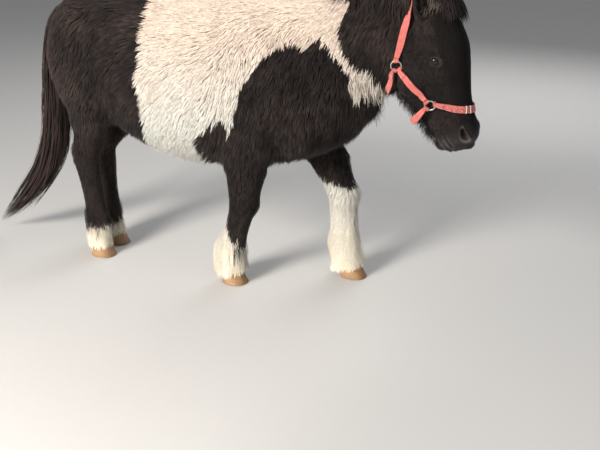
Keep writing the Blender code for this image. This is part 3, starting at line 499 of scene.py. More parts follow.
def slit_edge(turn):
    """A place on the slit's edge, along it and up."""
    c, s = math.cos(turn), math.sin(turn)
    return SLIT_HALF * c, (SLIT_ABOVE if s > 0 else SLIT_BELOW) * math.copysign(abs(s) ** 1.3, s)


def in_order(mesh):
    """The same shape with its faces in one fixed order, so that each run gives the same result."""
    mesh.verts.index_update()
    corners = []
    for face in mesh.faces:
        row = [v.index for v in face.verts]
        first = row.index(min(row))
        corners.append(row[first:] + row[:first])
    ordered = bmesh.new()
    places = [ordered.verts.new(v.co) for v in mesh.verts]
    for row in sorted(corners):
        ordered.faces.new([places[k] for k in row])
    mesh.free()
    return ordered


def lids(side):
    """Both lids in one ring round the slit: they roll over the eyeball, fold, and run into the face."""
    middle, slit, up, outward = eye_frame(side)
    around, rings = 84, 30
    mesh, rows = bmesh.new(), []
    for k in range(rings):
        t = k / (rings - 1)
        row = []
        for n in range(around):
            turn = 2 * math.pi * n / around
            s = math.sin(turn)
            u, v = slit_edge(turn)
            u += (LIDS_HALF[0] * math.cos(turn) - u) * t**1.15
            v += (LIDS_HALF[1] * s - v) * t**1.15
            over_ball = math.sqrt(max(LID_RADIUS**2 - u * u - v * v, 0.00001))
            above = middle + slit * u + up * v + outward * 0.08
            hit = head_outside.ray_cast(Vector(above), Vector(-outward))[0]
            face = (np.array(hit) - middle) @ outward - 0.0012
            rise = over_ball + (face - over_ball) * float(ease((t - 0.26) / 0.42))
            brow = max(s, 0) ** 0.6
            rise += 0.0011 * math.exp(-(((t - 0.13) / 0.07) ** 2))
            rise -= (0.0010 + 0.0022 * brow) * math.exp(-(((t - 0.30) / 0.050) ** 2))
            rise += (0.0004 + 0.0026 * brow) * math.exp(-(((t - 0.45) / 0.09) ** 2))
            rise -= (0.0006 + 0.0014 * brow) * math.exp(-(((t - 0.62) / 0.05) ** 2))
            rise -= 0.0022 * float(ease((t - 0.86) / 0.14))
            if k == 0:
                rise = math.sqrt(EYE_RADIUS**2 - u * u - v * v)
            row.append(mesh.verts.new(middle + slit * u + up * v + outward * rise))
        rows.append(row)
    wall(mesh, rows, ends=False)
    mesh.normal_update()
    if sum((face.normal for face in mesh.faces), Vector()).dot(Vector(outward)) < 0:
        bmesh.ops.reverse_faces(mesh, faces=mesh.faces)
    bmesh.ops.solidify(mesh, geom=mesh.faces[:], thickness=0.0010)
    return object_of("lids", in_order(mesh))


def half_space(along_x, depth):
    """A box ahead of the plane behind the cheeks, moved by along_x and as deep as depth."""
    mesh = bmesh.new()
    lean = math.atan2(0.052, 0.6)
    bmesh.ops.create_cube(mesh, size=1)
    size = Matrix.Diagonal((depth, 0.8, 1.4, 1))
    place = Matrix.Translation((0.638 + along_x, 0, 0.78)) @ Matrix.Rotation(lean, 4, "Y")
    bmesh.ops.transform(mesh, matrix=place @ Matrix.Translation((depth / 2, 0, 0)) @ size, verts=mesh.verts)
    return object_of("block", mesh)


body = melted(body_forms(), BODY_GRID, 10)
head = melted(head_forms(), HEAD_GRID, 5)
graph = bpy.context.evaluated_depsgraph_get()
body_outside = BVHTree.FromObject(body, graph)
head_outside = BVHTree.FromObject(head, graph)

set_points(body, points_of(body) - points_of(body, "normal") * coat_depth(points_of(body))[:, None])
set_points(head, shape_face(points_of(head), points_of(head, "normal")))
boolean(body, half_space(0.014, 0.9), "DIFFERENCE")
boolean(head, half_space(0.0, 0.9), "INTERSECT")
skin = boolean(body, head, "UNION")
mesh = bmesh.new()
mesh.from_mesh(skin.data)
for side in (-1, 1):
    lid = lids(side)
    mesh.from_mesh(lid.data)
    drop(lid)
bmesh.ops.triangulate(mesh, faces=mesh.faces)
mesh.to_mesh(skin.data)
mesh.free()
skin.name = skin.data.name = "skin"

# The skin's own unwrap: trunk and neck, head and each leg are rolled out round their own lines.
# A corner of a face that crosses the seam is kept beside the rest of its face.
CHARTS = ((0.02, 0.02, 0.60, 0.46), (0.64, 0.02, 0.34, 0.46)) + tuple(
    (0.02 + 0.245 * k, 0.52, 0.225, 0.44) for k in range(4)
)


def chart_of(points):
    """0 trunk and neck, 1 head, 2 to 5 the legs."""
    leg, far = nearest_leg(points)
    on_leg = (far < 0.105) & (points[:, 2] < 0.46)
    return np.where(on_leg, 2 + leg, np.where(headness(points) > 0.5, 1, 0))


def unwrap(points, chart):
    """Place on the charts of points, each on a known chart: turn round the line, and run along it."""
    along, out, side = head_places(points)
    turn = np.arctan2(points[:, 1], points[:, 2] - 0.68)
    run = (points[:, 0] + 0.55) / 1.35
    turn = np.where(chart == 1, np.arctan2(side, -(out + 0.02)), turn)
    run = np.where(chart == 1, (along + 0.12) / 0.60, run)
    for k, line in enumerate(LEG_LINES):
        ahead, left = off_leg(points, line)
        turn = np.where(chart == 2 + k, np.arctan2(left, ahead), turn)
        run = np.where(chart == 2 + k, points[:, 2] / 0.50, run)
    return turn / (2 * math.pi) + 0.5, run


def on_chart(turn, run, chart):
    """Each point's unwrapped place, inside its chart's box."""
    boxes = np.array(CHARTS)[chart]
    return np.stack([boxes[:, 0] + run * boxes[:, 2], boxes[:, 1] + np.clip(turn, 0, 1) * boxes[:, 3]], 1)


skin_points = points_of(skin)
skin_normals = points_of(skin, "normal")
corners = np.empty(len(skin.data.polygons) * 3, np.int32)
skin.data.polygons.foreach_get("vertices", corners)
corners = corners.reshape(-1, 3)
middles = skin_points[corners].mean(1)
charts = chart_of(middles)
middle_turn, _ = unwrap(middles, charts)
corner_turn, corner_run = unwrap(skin_points[corners].reshape(-1, 3), np.repeat(charts, 3))
shift = np.round(np.repeat(middle_turn, 3) - corner_turn)
skin_uv = on_chart(corner_turn + shift, corner_run, np.repeat(charts, 3)).reshape(-1, 3, 2)
layer = skin.data.uv_layers.new(name="OFBake")
layer.data.foreach_set("uv", skin_uv.astype(np.float32).ravel())

# The markings, grown in hide and hair alike: black rump, head and neck, and on each side of the creamy white
# trunk a black shoulder and one spot. Each patch is an outline in x and z, and its edge is roughened.
PATCHES = {
    -1: (
        ((-0.7, 1.1), (-0.115, 1.1), (-0.112, 0.883), (-0.101, 0.846), (-0.111, 0.799), (-0.100, 0.749),
         (-0.102, 0.705), (-0.118, 0.666), (-0.101, 0.618), (-0.106, 0.562), (-0.116, 0.511), (-0.150, 0.455),
         (-0.190, 0.400), (-0.7, 0.36)),
        ((0.120, 0.38), (0.150, 0.458), (0.176, 0.510), (0.193, 0.545), (0.214, 0.614), (0.237, 0.677),
         (0.273, 0.723), (0.312, 0.761), (0.356, 0.785), (0.390, 0.777), (0.416, 0.777), (0.436, 0.802),
         (0.454, 0.775), (0.478, 0.756), (0.501, 0.719), (0.520, 0.697), (0.522, 0.662), (0.534, 0.624),
         (0.700, 0.600), (0.700, 0.38)),
        ((0.500, 1.1), (0.510, 0.918), (0.515, 0.889), (0.497, 0.851), (0.493, 0.813), (0.504, 0.765),
         (0.523, 0.737), (0.547, 0.716), (0.579, 0.717), (0.578, 0.692), (0.615, 0.660), (0.64, 0.4),
         (1.0, 0.4), (1.0, 1.1)),
        ((0.058, 0.498), (0.104, 0.527), (0.164, 0.564), (0.174, 0.540), (0.168, 0.510), (0.190, 0.482),
         (0.165, 0.400), (0.051, 0.400)),
    ),
    1: (
        ((-0.7, 1.1), (-0.105, 1.1), (-0.108, 0.900), (-0.150, 0.820), (-0.165, 0.740), (-0.130, 0.690),
         (-0.150, 0.600), (-0.200, 0.520), (-0.215, 0.400), (-0.7, 0.36)),
        ((0.200, 0.38), (0.190, 0.480), (0.215, 0.580), (0.260, 0.660), (0.330, 0.720), (0.400, 0.745),
         (0.450, 0.720), (0.490, 0.680), (0.525, 0.632), (0.700, 0.600), (0.700, 0.38)),
        ((0.490, 1.1), (0.500, 0.940), (0.480, 0.870), (0.470, 0.800), (0.500, 0.740), (0.560, 0.715),
         (0.610, 0.670), (0.64, 0.4), (1.0, 0.4), (1.0, 1.1)),
        ((-0.020, 0.700), (0.050, 0.730), (0.100, 0.700), (0.095, 0.640), (0.030, 0.620), (-0.030, 0.650)),
    ),
}
# White up each leg: fore right, fore left, hind right, hind left, as height behind and in front
STOCKINGS = ((0.205, 0.100), (0.325, 0.305), (0.115, 0.100), (0.080, 0.080))


def ripple(points, size, seed):
    """Smooth noise of about that size, mostly between -1 and 1."""
    source = np.random.default_rng(seed)
    total = np.zeros(len(points))
    for _ in range(7):
        way = source.normal(size=3)
        way *= 2 * math.pi * source.uniform(0.6, 1.5) / size / np.linalg.norm(way)
        total += np.sin(points @ way + source.uniform(0, 2 * math.pi))
    return total / 3.2


def inside(x, z, outline):
    """Whether each place lies in the outline."""
    hit = np.zeros(len(x), bool)
    for (x0, z0), (x1, z1) in zip(outline, outline[1:] + outline[:1]):
        crosses = (z0 > z) != (z1 > z)
        with np.errstate(divide="ignore", invalid="ignore"):
            hit ^= crosses & (x < (x1 - x0) * (z - z0) / (z1 - z0) + x0)
    return hit


def darkness(points):
    """1 where the hair is black, 0 where it is white."""
    rough = ripple(points, 0.030, 11) * 0.0035 + ripple(points, 0.009, 12) * 0.0025
    x = points[:, 0] + rough
    z = points[:, 2] + ripple(points, 0.022, 13) * 0.004
    dark = np.zeros(len(points), bool)
    for side, patches in PATCHES.items():
        here = (points[:, 1] * side >= 0) if side > 0 else (points[:, 1] < 0)
        for outline in patches:
            dark |= here & inside(x, z, outline)
    leg, far = nearest_leg(points)
    on_leg = (far < 0.115) & (points[:, 2] < 0.42)
    behind, front = np.array(STOCKINGS)[leg].T
    ahead = np.array([off_leg(points, line)[0] for line in LEG_LINES])
    ahead = np.clip(ahead[leg, np.arange(len(points))] / 0.045, -1, 1)
    top = behind + (front - behind) * (ahead + 1) / 2 + rough * 2.5
    dark = np.where(on_leg, points[:, 2] > top, dark)
    return dark.astype(float)


def mark(data, name, values):
    """A value at each point of a mesh, which its material reads."""
    field = data.attributes.new(name, "FLOAT", "POINT")
    field.data.foreach_set("value", np.asarray(values, np.float32))


def blurred(values, triangles, count):
    """Values at points, evened out a little over their neighbours."""
    for _ in range(2):
        total, share = np.zeros(count), np.zeros(count)
        mean = values[triangles].mean(1)
        for k in range(3):
            total += np.bincount(triangles[:, k], mean, count)
            share += np.bincount(triangles[:, k], minlength=count)
        values = total / np.maximum(share, 1)
    return values


along, out, side = head_places(skin_points)
bare = headness(skin_points) * ease((along - 0.375) / 0.04) * 0.8
rim = headness(skin_points) * np.exp(-(((nostril_reach(along, out) - 1.05) / 0.30) ** 2))
rim *= ease((np.abs(side) - 0.018) / 0.008)
mark(skin.data, "dark", blurred(darkness(skin_points), corners, len(skin_points)))
# Folds above each eye: bare skin, lightened by a painted highlight.
fold = np.zeros(len(side))
for eye_side in (-1, 1):
    middle, slit, up, outward = eye_frame(eye_side)
    off = skin_points - middle
    high = off @ up
    round_eye = np.hypot((off @ slit) / 1.15, high) + 1.0 * (off @ outward < -0.004)
    bare = np.maximum(bare, 0.12 * ease((0.0225 - round_eye) / 0.004))
    for reach, share in ((0.0128, 0.9), (0.0168, 0.5), (0.0203, 0.7)):
        fold = np.maximum(fold, share * np.exp(-(((round_eye - reach) / 0.0011) ** 2)) * ease(high / 0.004))
mark(skin.data, "bare", np.maximum(np.maximum(bare, 0.9 * fold), rim))
crease_shade, ridge_highlight = np.zeros(len(side)), np.zeros(len(side))
for line, _, wide in FACE_LINES:
    off = near_line(along, out, line)
    crease_shade = np.maximum(crease_shade, np.exp(-((off / (0.8 * wide)) ** 2)))
    ridge_highlight = np.maximum(ridge_highlight, np.exp(-(((off - 2.3 * wide) / (0.9 * wide)) ** 2)))
# Painted highlight: the nostril rims, the lid folds and the ridges beside the face lines are lightened.
mark(skin.data, "rim", np.maximum(np.maximum(rim, fold), 0.7 * ridge_highlight * headness(skin_points)))
# Painted shade: the hide is darkened along the pressed face lines.
mark(skin.data, "crease_shade", crease_shade * headness(skin_points))


class Nodes:
    """A material's or a group's nodes, added one after another and wired by name."""

    def __init__(self, tree):
        self.tree = tree

    def add(self, kind, values=(), **settings):
        node = self.tree.nodes.new("ShaderNode" + kind)
        for key, value in settings.items():
            setattr(node, key, value)
        for name, value in dict(values).items():
            socket = node.inputs[name]
            if isinstance(value, bpy.types.NodeSocket):
                self.tree.links.new(value, socket)
            else:
                socket.default_value = value
        return node

    def place(self):
        return self.add("TexCoord").outputs["Object"]

    def math(self, operation, a, b=0.0):
        return self.add("Math", {0: a, 1: b}, operation=operation).outputs[0]

    def times(self, a, b):
        return self.math("MULTIPLY", a, b)

    def plus(self, a, b):
        return self.math("ADD", a, b)

    def ramp(self, value, low=0.0, high=1.0, bottom=0.0, top=1.0):
        """The value, brought from the range low to high into the range bottom to top."""
        return self.add("MapRange", {0: value, 1: low, 2: high, 3: bottom, 4: top}).outputs[0]

    def noise(self, place, scale, detail=2.0):
        """Cloudy noise from 0 to 1, finer the larger its scale."""
        return self.add("TexNoise", {"Vector": place, "Scale": scale, "Detail": detail}).outputs["Fac"]

    def feed(self, shader, **values):
        """Wires each value to the shader's socket of that name."""
        for name, value in values.items():
            self.tree.links.new(value, shader.inputs[name.replace("_", " ")])

    def emboss(self, shader, height, distance, strength):
        """Fine relief, seen in the shading alone."""
        bump = self.add("Bump", {"Height": height, "Distance": distance, "Strength": strength})
        self.feed(shader, Normal=bump.outputs[0])

    def blend(self, share, a, b, how="MIX"):
        """Colour a at share 0, colour b at share 1."""
        node = self.add("Mix", data_type="RGBA", blend_type=how)
        for socket, value in ((node.inputs[0], share), (node.inputs[6], a), (node.inputs[7], b)):
            if isinstance(value, bpy.types.NodeSocket):
                self.tree.links.new(value, socket)
            else:
                socket.default_value = value
        return node.outputs[2]

    def read(self, name):
        """One of the mesh's own marks."""
        return self.add("Attribute", attribute_name=name).outputs["Fac"]


def paint(name, **plain):
    """A new material: its nodes and its Principled shader, with the values that are the same all over."""
    made = bpy.data.materials.new(name)
    made.use_nodes = True
    shader = made.node_tree.nodes["Principled BSDF"]
    for key, value in plain.items():
        shader.inputs[key.replace("_", " ")].default_value = value
    return made, Nodes(made.node_tree), shader


def group(name, inputs, outputs):
    """An empty node group with its sockets, and its nodes."""
    tree = bpy.data.node_groups.new(name, "ShaderNodeTree")
    for kind, sockets in (("INPUT", inputs), ("OUTPUT", outputs)):
        for label, form, value in sockets:
            socket = tree.interface.new_socket(label, in_out=kind, socket_type="NodeSocket" + form)
            if value is not None:
                socket.default_value = value
    work = Nodes(tree)
    return tree, work, tree.nodes.new("NodeGroupInput").outputs, tree.nodes.new("NodeGroupOutput").inputs


# Winter hair: its colour runs from root to tip, darker at the root in a painted shade, and differs from tuft
# to tuft.
# White is peach along the back, greyer below, earth-stained at the feet; black is faded brown in places,
# partly a painted sheen.
hair_group, work, given, result = group(
    "winter_hair",
    (("Dark", "Float", 0.0), ("Tone", "Float", 0.5), ("Along", "Float", 0.5)),
    (("Colour", "Color", None), ("Roughness", "Float", None), ("Gloss", "Float", None)),
)
place = work.place()
height = work.add("SeparateXYZ", {0: place}).outputs
cloud = work.noise(place, 9.0, 3.0)
fine = work.noise(place, 160.0)
up = work.ramp(height[2], 0.52, 0.80)
white = work.blend(up, (0.760, 0.752, 0.690, 1), (0.760, 0.622, 0.520, 1))
stain = work.times(work.ramp(height[2], 0.30, 0.0), 0.60)
white = work.blend(stain, white, (0.87, 0.74, 0.53, 1))
worn = work.ramp(cloud, 0.45, 0.80, top=0.30)
white = work.blend(worn, white, (0.66, 0.53, 0.40, 1))
black = work.blend(cloud, (0.0040, 0.0030, 0.0033, 1), (0.0130, 0.0086, 0.0075, 1))
# Brown tips on black in cloudy patches: partly faded hair, partly a painted sheen.
brown = work.ramp(given["Along"], 0.45, 1.0, top=0.42)
dust_and_sheen = work.ramp(cloud, 0.36, 0.66, 0.25, 1.35)
black = work.blend(work.times(brown, dust_and_sheen), black, (0.056, 0.038, 0.033, 1))
coat = work.blend(given["Dark"], white, black)
# Painted shade: each hair is darker toward its root, deep in the coat, more on black than on white.
deep = work.ramp(given["Dark"], bottom=0.87, top=0.66)
root = work.ramp(given["Along"], 0.0, 0.60, deep, 1.0)
least = work.ramp(given["Dark"], bottom=0.84, top=0.25)
most = work.ramp(given["Dark"], bottom=1.10, top=2.30)
vary = work.ramp(given["Tone"], bottom=least, top=most)
speck = work.ramp(fine, 0.3, 0.7, 0.86, 1.10)
shade = work.times(work.times(root, vary), speck)
shade_colour = work.add("CombineColor", {0: shade, 1: shade, 2: shade}).outputs[0]
work.tree.links.new(work.blend(1.0, coat, shade_colour, "MULTIPLY"), result["Colour"])
rough = work.plus(work.times(given["Dark"], -0.22), work.math("MULTIPLY_ADD", fine, 0.12))
work.tree.links.new(work.plus(rough, 0.62), result["Roughness"])
work.tree.links.new(work.ramp(given["Dark"], bottom=0.16, top=0.34), result["Gloss"])


def hair_nodes(work, shader):
    """The winter hair group, read from a mesh's own marks and wired to a shader."""
    node = work.add("Group", node_tree=hair_group)
    for socket, name in (("Dark", "dark"), ("Tone", "tone"), ("Along", "along")):
        work.tree.links.new(work.read(name), node.inputs[socket])
    work.feed(shader, Base_Color=node.outputs["Colour"], Roughness=node.outputs["Roughness"])
    work.feed(shader, Specular_IOR_Level=node.outputs["Gloss"])
    return node


skin_paint, work, shader = paint("skin", Specular_IOR_Level=0.35)
node = work.add("Group", {"Dark": work.read("dark"), "Tone": 0.4, "Along": 0.45}, node_tree=hair_group)
place = work.place()
pores = work.add("TexVoronoi", {"Vector": place, "Scale": 620.0}).outputs["Distance"]
folds = work.noise(place, 130.0, 4.0)
hide = work.blend(folds, (0.011, 0.0085, 0.0085, 1), (0.036, 0.028, 0.027, 1))
# Painted highlight: pale hide on the nostril rims, lid folds and ridges beside the face lines.
hide = work.blend(work.times(work.read("rim"), 0.60), hide, (0.19, 0.150, 0.140, 1))
# Painted shade in the creases of the face lines.
hide = work.blend(work.read("crease_shade"), hide, (0.003, 0.002, 0.002, 1))
colour = work.blend(work.read("bare"), node.outputs["Colour"], hide)
rough = work.ramp(work.read("bare"), bottom=0.75, top=0.50)
work.feed(shader, Base_Color=colour, Roughness=rough)
relief = work.plus(work.times(pores, 0.5), folds)
work.emboss(shader, relief, 0.0008, 0.6)
skin.data.materials.clear()
skin.data.materials.append(skin_paint)
skin.data.shade_smooth()
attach(skin, "root")
FLESH = ["torso", "neck", "head", "ear_left", "ear_right"]
FLESH += [kind + "_" + word for kind in ("foreleg", "hindleg") for word in ("left", "right")]
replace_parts(skin, *FLESH)

# The coat: winter hair three to five centimetres long, in tufts that lie along the body and draw to points.
# Each tuft is a thin closed blade rooted in the skin; the face and lower legs have much shorter ones.


def unit(vectors):
    """The vectors, each made one long."""
    return vectors / np.maximum(np.linalg.norm(vectors, axis=-1, keepdims=True), 1e-9)


def blade_faces(rings):
    """The triangles of one blade: a fan at each end, and pairs from ring to ring between them."""
    faces = []
    for k in range(rings + 1):
        for a, b in ((1, 0), (2, 1), (0, 2)):
            low_a, low_b, high_a, high_b = 3 * k - 2 + a, 3 * k - 2 + b, 3 * k + 1 + a, 3 * k + 1 + b
            if k == 0:
                faces.append((0, high_b, high_a))
            elif k == rings:
                faces.append((low_a, low_b, 3 * rings + 1))
            else:
                faces += [(low_a, low_b, high_b), (low_a, high_b, high_a)]
    return np.array(faces)


def hair(name, lines, ways, width, thick, root_uv, marks, material, profile):
    """Closed blades along lines of points (blade, step, 3), three-sided, from a buried point to a tip."""
    count, steps = lines.shape[:2]
    rings = steps - 2
    run = unit(np.gradient(lines, axis=1))
    across = unit(np.cross(run, ways))[:, 1:-1]
    upward = np.cross(across, run[:, 1:-1])
    share = np.linspace(0, 1, steps)
    wide = (width[:, None] * np.array(profile)[None])[..., None]
    deep = (thick[:, None] * (1 - 0.5 * share[None, 1:-1]))[..., None]
    edge = across * wide / 2 + upward * deep * 0.4
    other = across * wide / 2 - upward * deep * 0.4
    middle = lines[:, 1:-1]
    points = np.stack([middle - edge, middle + other, middle + upward * deep * 0.6], 2)
    points = np.concatenate([lines[:, :1], points.reshape(count, rings * 3, 3), lines[:, -1:]], 1)
    per = 3 * rings + 2
    faces = (blade_faces(rings)[None] + (np.arange(count) * per)[:, None, None]).reshape(-1, 3)
    data = bpy.data.meshes.new(name)
    data.vertices.add(count * per)
    data.vertices.foreach_set("co", points.astype(np.float32).ravel())
    data.loops.add(faces.size)
    data.loops.foreach_set("vertex_index", faces.astype(np.int32).ravel())
    data.polygons.add(len(faces))
    data.polygons.foreach_set("loop_start", np.arange(0, faces.size, 3, dtype=np.int32))
    data.update(calc_edges=True)
    sideways = np.concatenate([[0.0], np.tile([-0.5, 0.5, 0.0], rings), [0.0]])
    lengthwise = np.concatenate([[0.0], np.repeat(share[1:-1], 3), [1.0]])
    patch = root_uv[:, None, :] + 0.003 * np.stack([sideways, lengthwise - 0.5], 1)[None]
    layer = data.uv_layers.new(name="OFBake")
    layer.data.foreach_set("uv", patch.reshape(-1, 2)[faces.ravel()].astype(np.float32).ravel())
    mark(data, "along", np.tile(lengthwise, count))
    for key, values in marks.items():
        mark(data, key, np.repeat(values, per))
    data.shade_smooth()
    flank = across * 0.75
    facing = np.stack([ways[:, 1:-1] - flank, ways[:, 1:-1] + flank, ways[:, 1:-1] + upward], 2)
    facing = np.concatenate([ways[:, :1], facing.reshape(count, rings * 3, 3), ways[:, -1:]], 1)
    data.normals_split_custom_set_from_vertices(unit(facing).reshape(-1, 3).tolist())
    data.materials.append(material)
    made = bpy.data.objects.new(name, data)
    bpy.context.scene.collection.objects.link(made)
    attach(made, "root")
    return made


def scatter(chosen, density, count, seed):
    """Even random places on chosen faces of the skin: point, way out, unwrapped place."""
    source = np.random.default_rng(seed)
    triangles = corners[chosen]
    a, b, c = (skin_points[triangles[:, k]] for k in range(3))
    weight = np.linalg.norm(np.cross(b - a, c - a), axis=1) * density
    ladder = np.cumsum(weight)
    pick = (np.arange(count) + source.uniform(0, 1, count)) / count * ladder[-1]
    face = np.minimum(np.searchsorted(ladder, pick), len(triangles) - 1)
    first, second = np.sqrt(source.uniform(0, 1, count)), source.uniform(0, 1, count)
    share = np.stack([1 - first, first * (1 - second), first * second], 1)[..., None]
    point = (skin_points[triangles[face]] * share).sum(1)
    normal = unit((skin_normals[triangles[face]] * share).sum(1))
    uv = (skin_uv[chosen][face] * share).sum(1)
    return point, normal, uv


def lie(points, normals):
    """The way the hair lies: back and down on the trunk, down legs and face, and back over the cheeks."""
    x, y, z = points.T
    along, out, _ = head_places(points)
    back = ease((z - 0.62) / 0.30)
    trunk = np.stack([-0.55 - 0.55 * back, np.zeros(len(x)), -0.75 + 0.55 * back], 1)
    shoulder = ease((x - 0.08) / 0.14) * ease((0.95 - z) / 0.2)
    haunch = ease((-0.14 - x) / 0.14) * ease((0.93 - z) / 0.15)
    neck = ease((x - 0.40) / 0.12)
    breast = ease((x - 0.47) / 0.06) * ease((0.74 - z) / 0.08)
    falls = ((shoulder, (-0.22, 0, -1.0)), (haunch, (-0.35, 0, -0.95)), (neck, (-0.40, 0, -0.92)),
             (breast, (0.05, 0, -1.0)), (legness(points), (-0.12, 0, -1.0)))
    for share, fall in falls:
        trunk += (np.array(fall) - trunk) * share[:, None]
    cheek = ease((0.01 - out) / 0.05) * ease((0.36 - along) / 0.1)
    face = np.array(ALONG_HEAD)[None] - np.array(OUT_OF_FACE)[None] * (0.9 * cheek)[:, None]
    beard = ease((-0.085 - out) / 0.04)
    face += (np.array([-0.35, 0, -1.0]) - face) * beard[:, None]
    ears = ease((0.030 - along) / 0.03)
    face += (np.array([0.0, 0, 1.0]) + 0.2 * normals - face) * ears[:, None]
    way = trunk + (face - trunk) * headness(points)[:, None]
    curl = np.stack([ripple(points, 0.07, 21 + k) for k in range(3)], 1)
    way = unit(way) + curl * 0.16 * (1 - 0.6 * headness(points))[:, None]
    way -= normals * (way * normals).sum(1)[:, None]
    return unit(way)


def tuft_sizes(points):
    """Length and width of the tufts at each place."""
    along, out, _ = head_places(points)
    x, y, z = points.T
    length = np.full(len(x), 0.038)
    length += 0.010 * ease((0.56 - z) / 0.1)
    length += 0.016 * ease((x - 0.46) / 0.06) * ease((0.74 - z) / 0.08) * ease((z - 0.50) / 0.05)
    length += (0.021 - length) * legness(points)
    face = 0.0115 + 0.012 * ease((-0.07 - out) / 0.05) + 0.006 * ease((0.11 - along) / 0.06)
    face *= 1 - 0.35 * ease((0.040 - along) / 0.04)
    face *= 1 - 0.66 * ease((along - 0.335) / 0.05)
    face *= 1 - 0.55 * np.exp(-((np.hypot(along - EYE[0], out - EYE[1]) / 0.026) ** 2))
    length += (face - length) * headness(points)
    width = np.clip(0.0007 + 0.052 * length, 0.0008, 0.0028)
    return length, width


def off_lids(points):
    """Whether each place is clear of the bare rims of the lids and of the eyeballs."""
    clear = np.ones(len(points), bool)
    for side in (-1, 1):
        middle, slit, up, outward = eye_frame(side)
        off = points - middle
        reach = np.hypot((off @ slit) / (SLIT_HALF + 0.0050), (off @ up - 0.004) / 0.0165)
        far = np.linalg.norm(off, axis=1)
        ragged = 1 + 0.22 * ripple(points, 0.004, 41)
        clear &= (reach > ragged) | (off @ outward < 0) | (far > 0.04)
        clear &= far > EYE_RADIUS + 0.0002
    return clear


def nearest_of(tips, heads):
    """For each tip, the number of the nearest of the heads, which its neighbours draw toward."""
    tree = KDTree(len(heads))
    for k in heads:
        tree.insert(tips[k], int(k))
    tree.balance()
    return np.array([tree.find(tip)[1] for tip in tips])


def coat(name, chosen, count, slot, seed):
    """One piece of the coat over the chosen faces of the skin."""
    density = tuft_sizes(middles[chosen])[1] ** -0.6
    muzzle = headness(middles[chosen]) * ease((head_places(middles[chosen])[0] - 0.365) / 0.04)
    density = density * (1 - 0.70 * muzzle)
    point, normal, uv = scatter(chosen, density, count, seed)
    keep = off_lids(point)
    point, normal, uv, count = point[keep], normal[keep], uv[keep], int(keep.sum())
    source = np.random.default_rng(seed + 500)
    way = lie(point, normal)
    length, width = tuft_sizes(point)
    depth = coat_depth(point)
    length = length * source.uniform(0.75, 1.2, count)
    rise = depth * source.uniform(0.74, 1.10, count) + 0.0004
    leg, far = nearest_leg(point)
    height = point[:, 2]
    cannon = (leg == 1) * (far < 0.08) * ease((0.335 - height) / 0.05) * ease((height - 0.10) / 0.05)
    length = length * (1 + 0.5 * cannon)
    rise = rise + 0.0085 * cannon
    tip = point + way * length[:, None] + normal * rise[:, None]
    under = ease((-0.10 - normal[:, 2]) / 0.7) * (1 - 0.8 * headness(point)) * length
    tip[:, 2] -= 0.28 * under * source.uniform(0.3, 1.2, count)
    tip[:, 2] = np.maximum(tip[:, 2], 0.004)
    heads = source.permutation(count)[: count // 9]
    found = nearest_of(tip, heads)
    gather = (source.uniform(0.15, 0.55, count) * (1 - 0.78 * headness(point)))[:, None]
    pulled = tip + (tip[found] - tip) * gather
    pulled += normal * (((tip - pulled) * normal).sum(1))[:, None]
    middle = point + way * (length * 0.40)[:, None] + normal * (rise * 0.70)[:, None]
    middle += (pulled - tip) * 0.30
    lines = np.stack([point - normal * 0.0015, middle, pulled], 1)
    ways = np.repeat(normal[:, None], 3, 1)
    tone = np.clip(0.5 + 0.20 * source.normal(size=count) + 0.20 * source.normal(size=count)[found], 0, 1)
    # Painted shade and highlight: on the head, tufts toward the front of the face are darkened and those
    # toward the jaw lightened.
    out = head_places(point)[1]
    tone *= 1 - headness(point) * (0.85 * ease((out - 0.010) / 0.026) - 0.25 * ease((0.0 - out) / 0.03))
    # Painted highlight: black tufts over the rump are lightened.
    tone += 0.32 * ease((-0.24 - point[:, 0]) / 0.12) * (darkness(point) > 0.5)
    tone = np.clip(tone, 0, 1)
    shown = point + way * (0.80 * length)[:, None]
    marks = {"dark": darkness(shown), "tone": tone}
    return hair(name, lines, ways, width, width * 0.36, uv, marks, coat_paint, (1.0,))


coat_paint, work, shader = paint("coat", Sheen_Weight=0.05, Sheen_Roughness=0.5)
hair_nodes(work, shader)

x, y, z = middles.T
on_neck = x > 0.595 - 0.616 * (z - 0.565)
areas = {
    "coat_head_right": ((charts == 1) & (y < 0), 21300, "coat_black"),
    "coat_head_left": ((charts == 1) & (y >= 0), 21300, "coat_black"),
    "coat_neck": ((charts == 0) & on_neck, 25000, "coat_black"),
    "coat_shoulder_right": ((charts == 0) & ~on_neck & (x > 0.12) & (y < 0), 17800, "coat_pied"),
    "coat_shoulder_left": ((charts == 0) & ~on_neck & (x > 0.12) & (y >= 0), 17800, "coat_pied"),
    "coat_barrel_right": ((charts == 0) & (x <= 0.12) & (x > -0.20) & (y < 0), 18200, "coat_pied"),
    "coat_barrel_left": ((charts == 0) & (x <= 0.12) & (x > -0.20) & (y >= 0), 18200, "coat_pied"),
    "coat_rump": ((charts == 0) & (x <= -0.20), 27000, "coat_hindleg"),
    "coat_forelegs": ((charts == 2) | (charts == 3), 17000, "coat_foreleg"),
    "coat_hindlegs": ((charts == 4) | (charts == 5), 13000, "coat_hindleg"),
}
for k, (name, (chosen, count, slot)) in enumerate(areas.items()):
    coat(name, chosen, count, slot, 100 + k)

# Long hair: mane, forelock, tail, the feather at the fetlocks and the beard under the jaw.
# Coarse and brown-black, white at the fetlocks; it hangs in flat strands over the coat.
long_paint, work, shader = paint("long_hair", Sheen_Weight=0.05)
hair_nodes(work, shader)
STRAND = (1.0, 1.0, 0.95, 0.80, 0.55)
skin_tree = BVHTree.FromPolygons(skin_points.tolist(), corners.tolist())


def uv_near(points):
    """The skin's unwrapped place nearest each point."""
    faces = [skin_tree.find_nearest(Vector(p))[2] for p in points]
    return skin_uv[faces].mean(1)


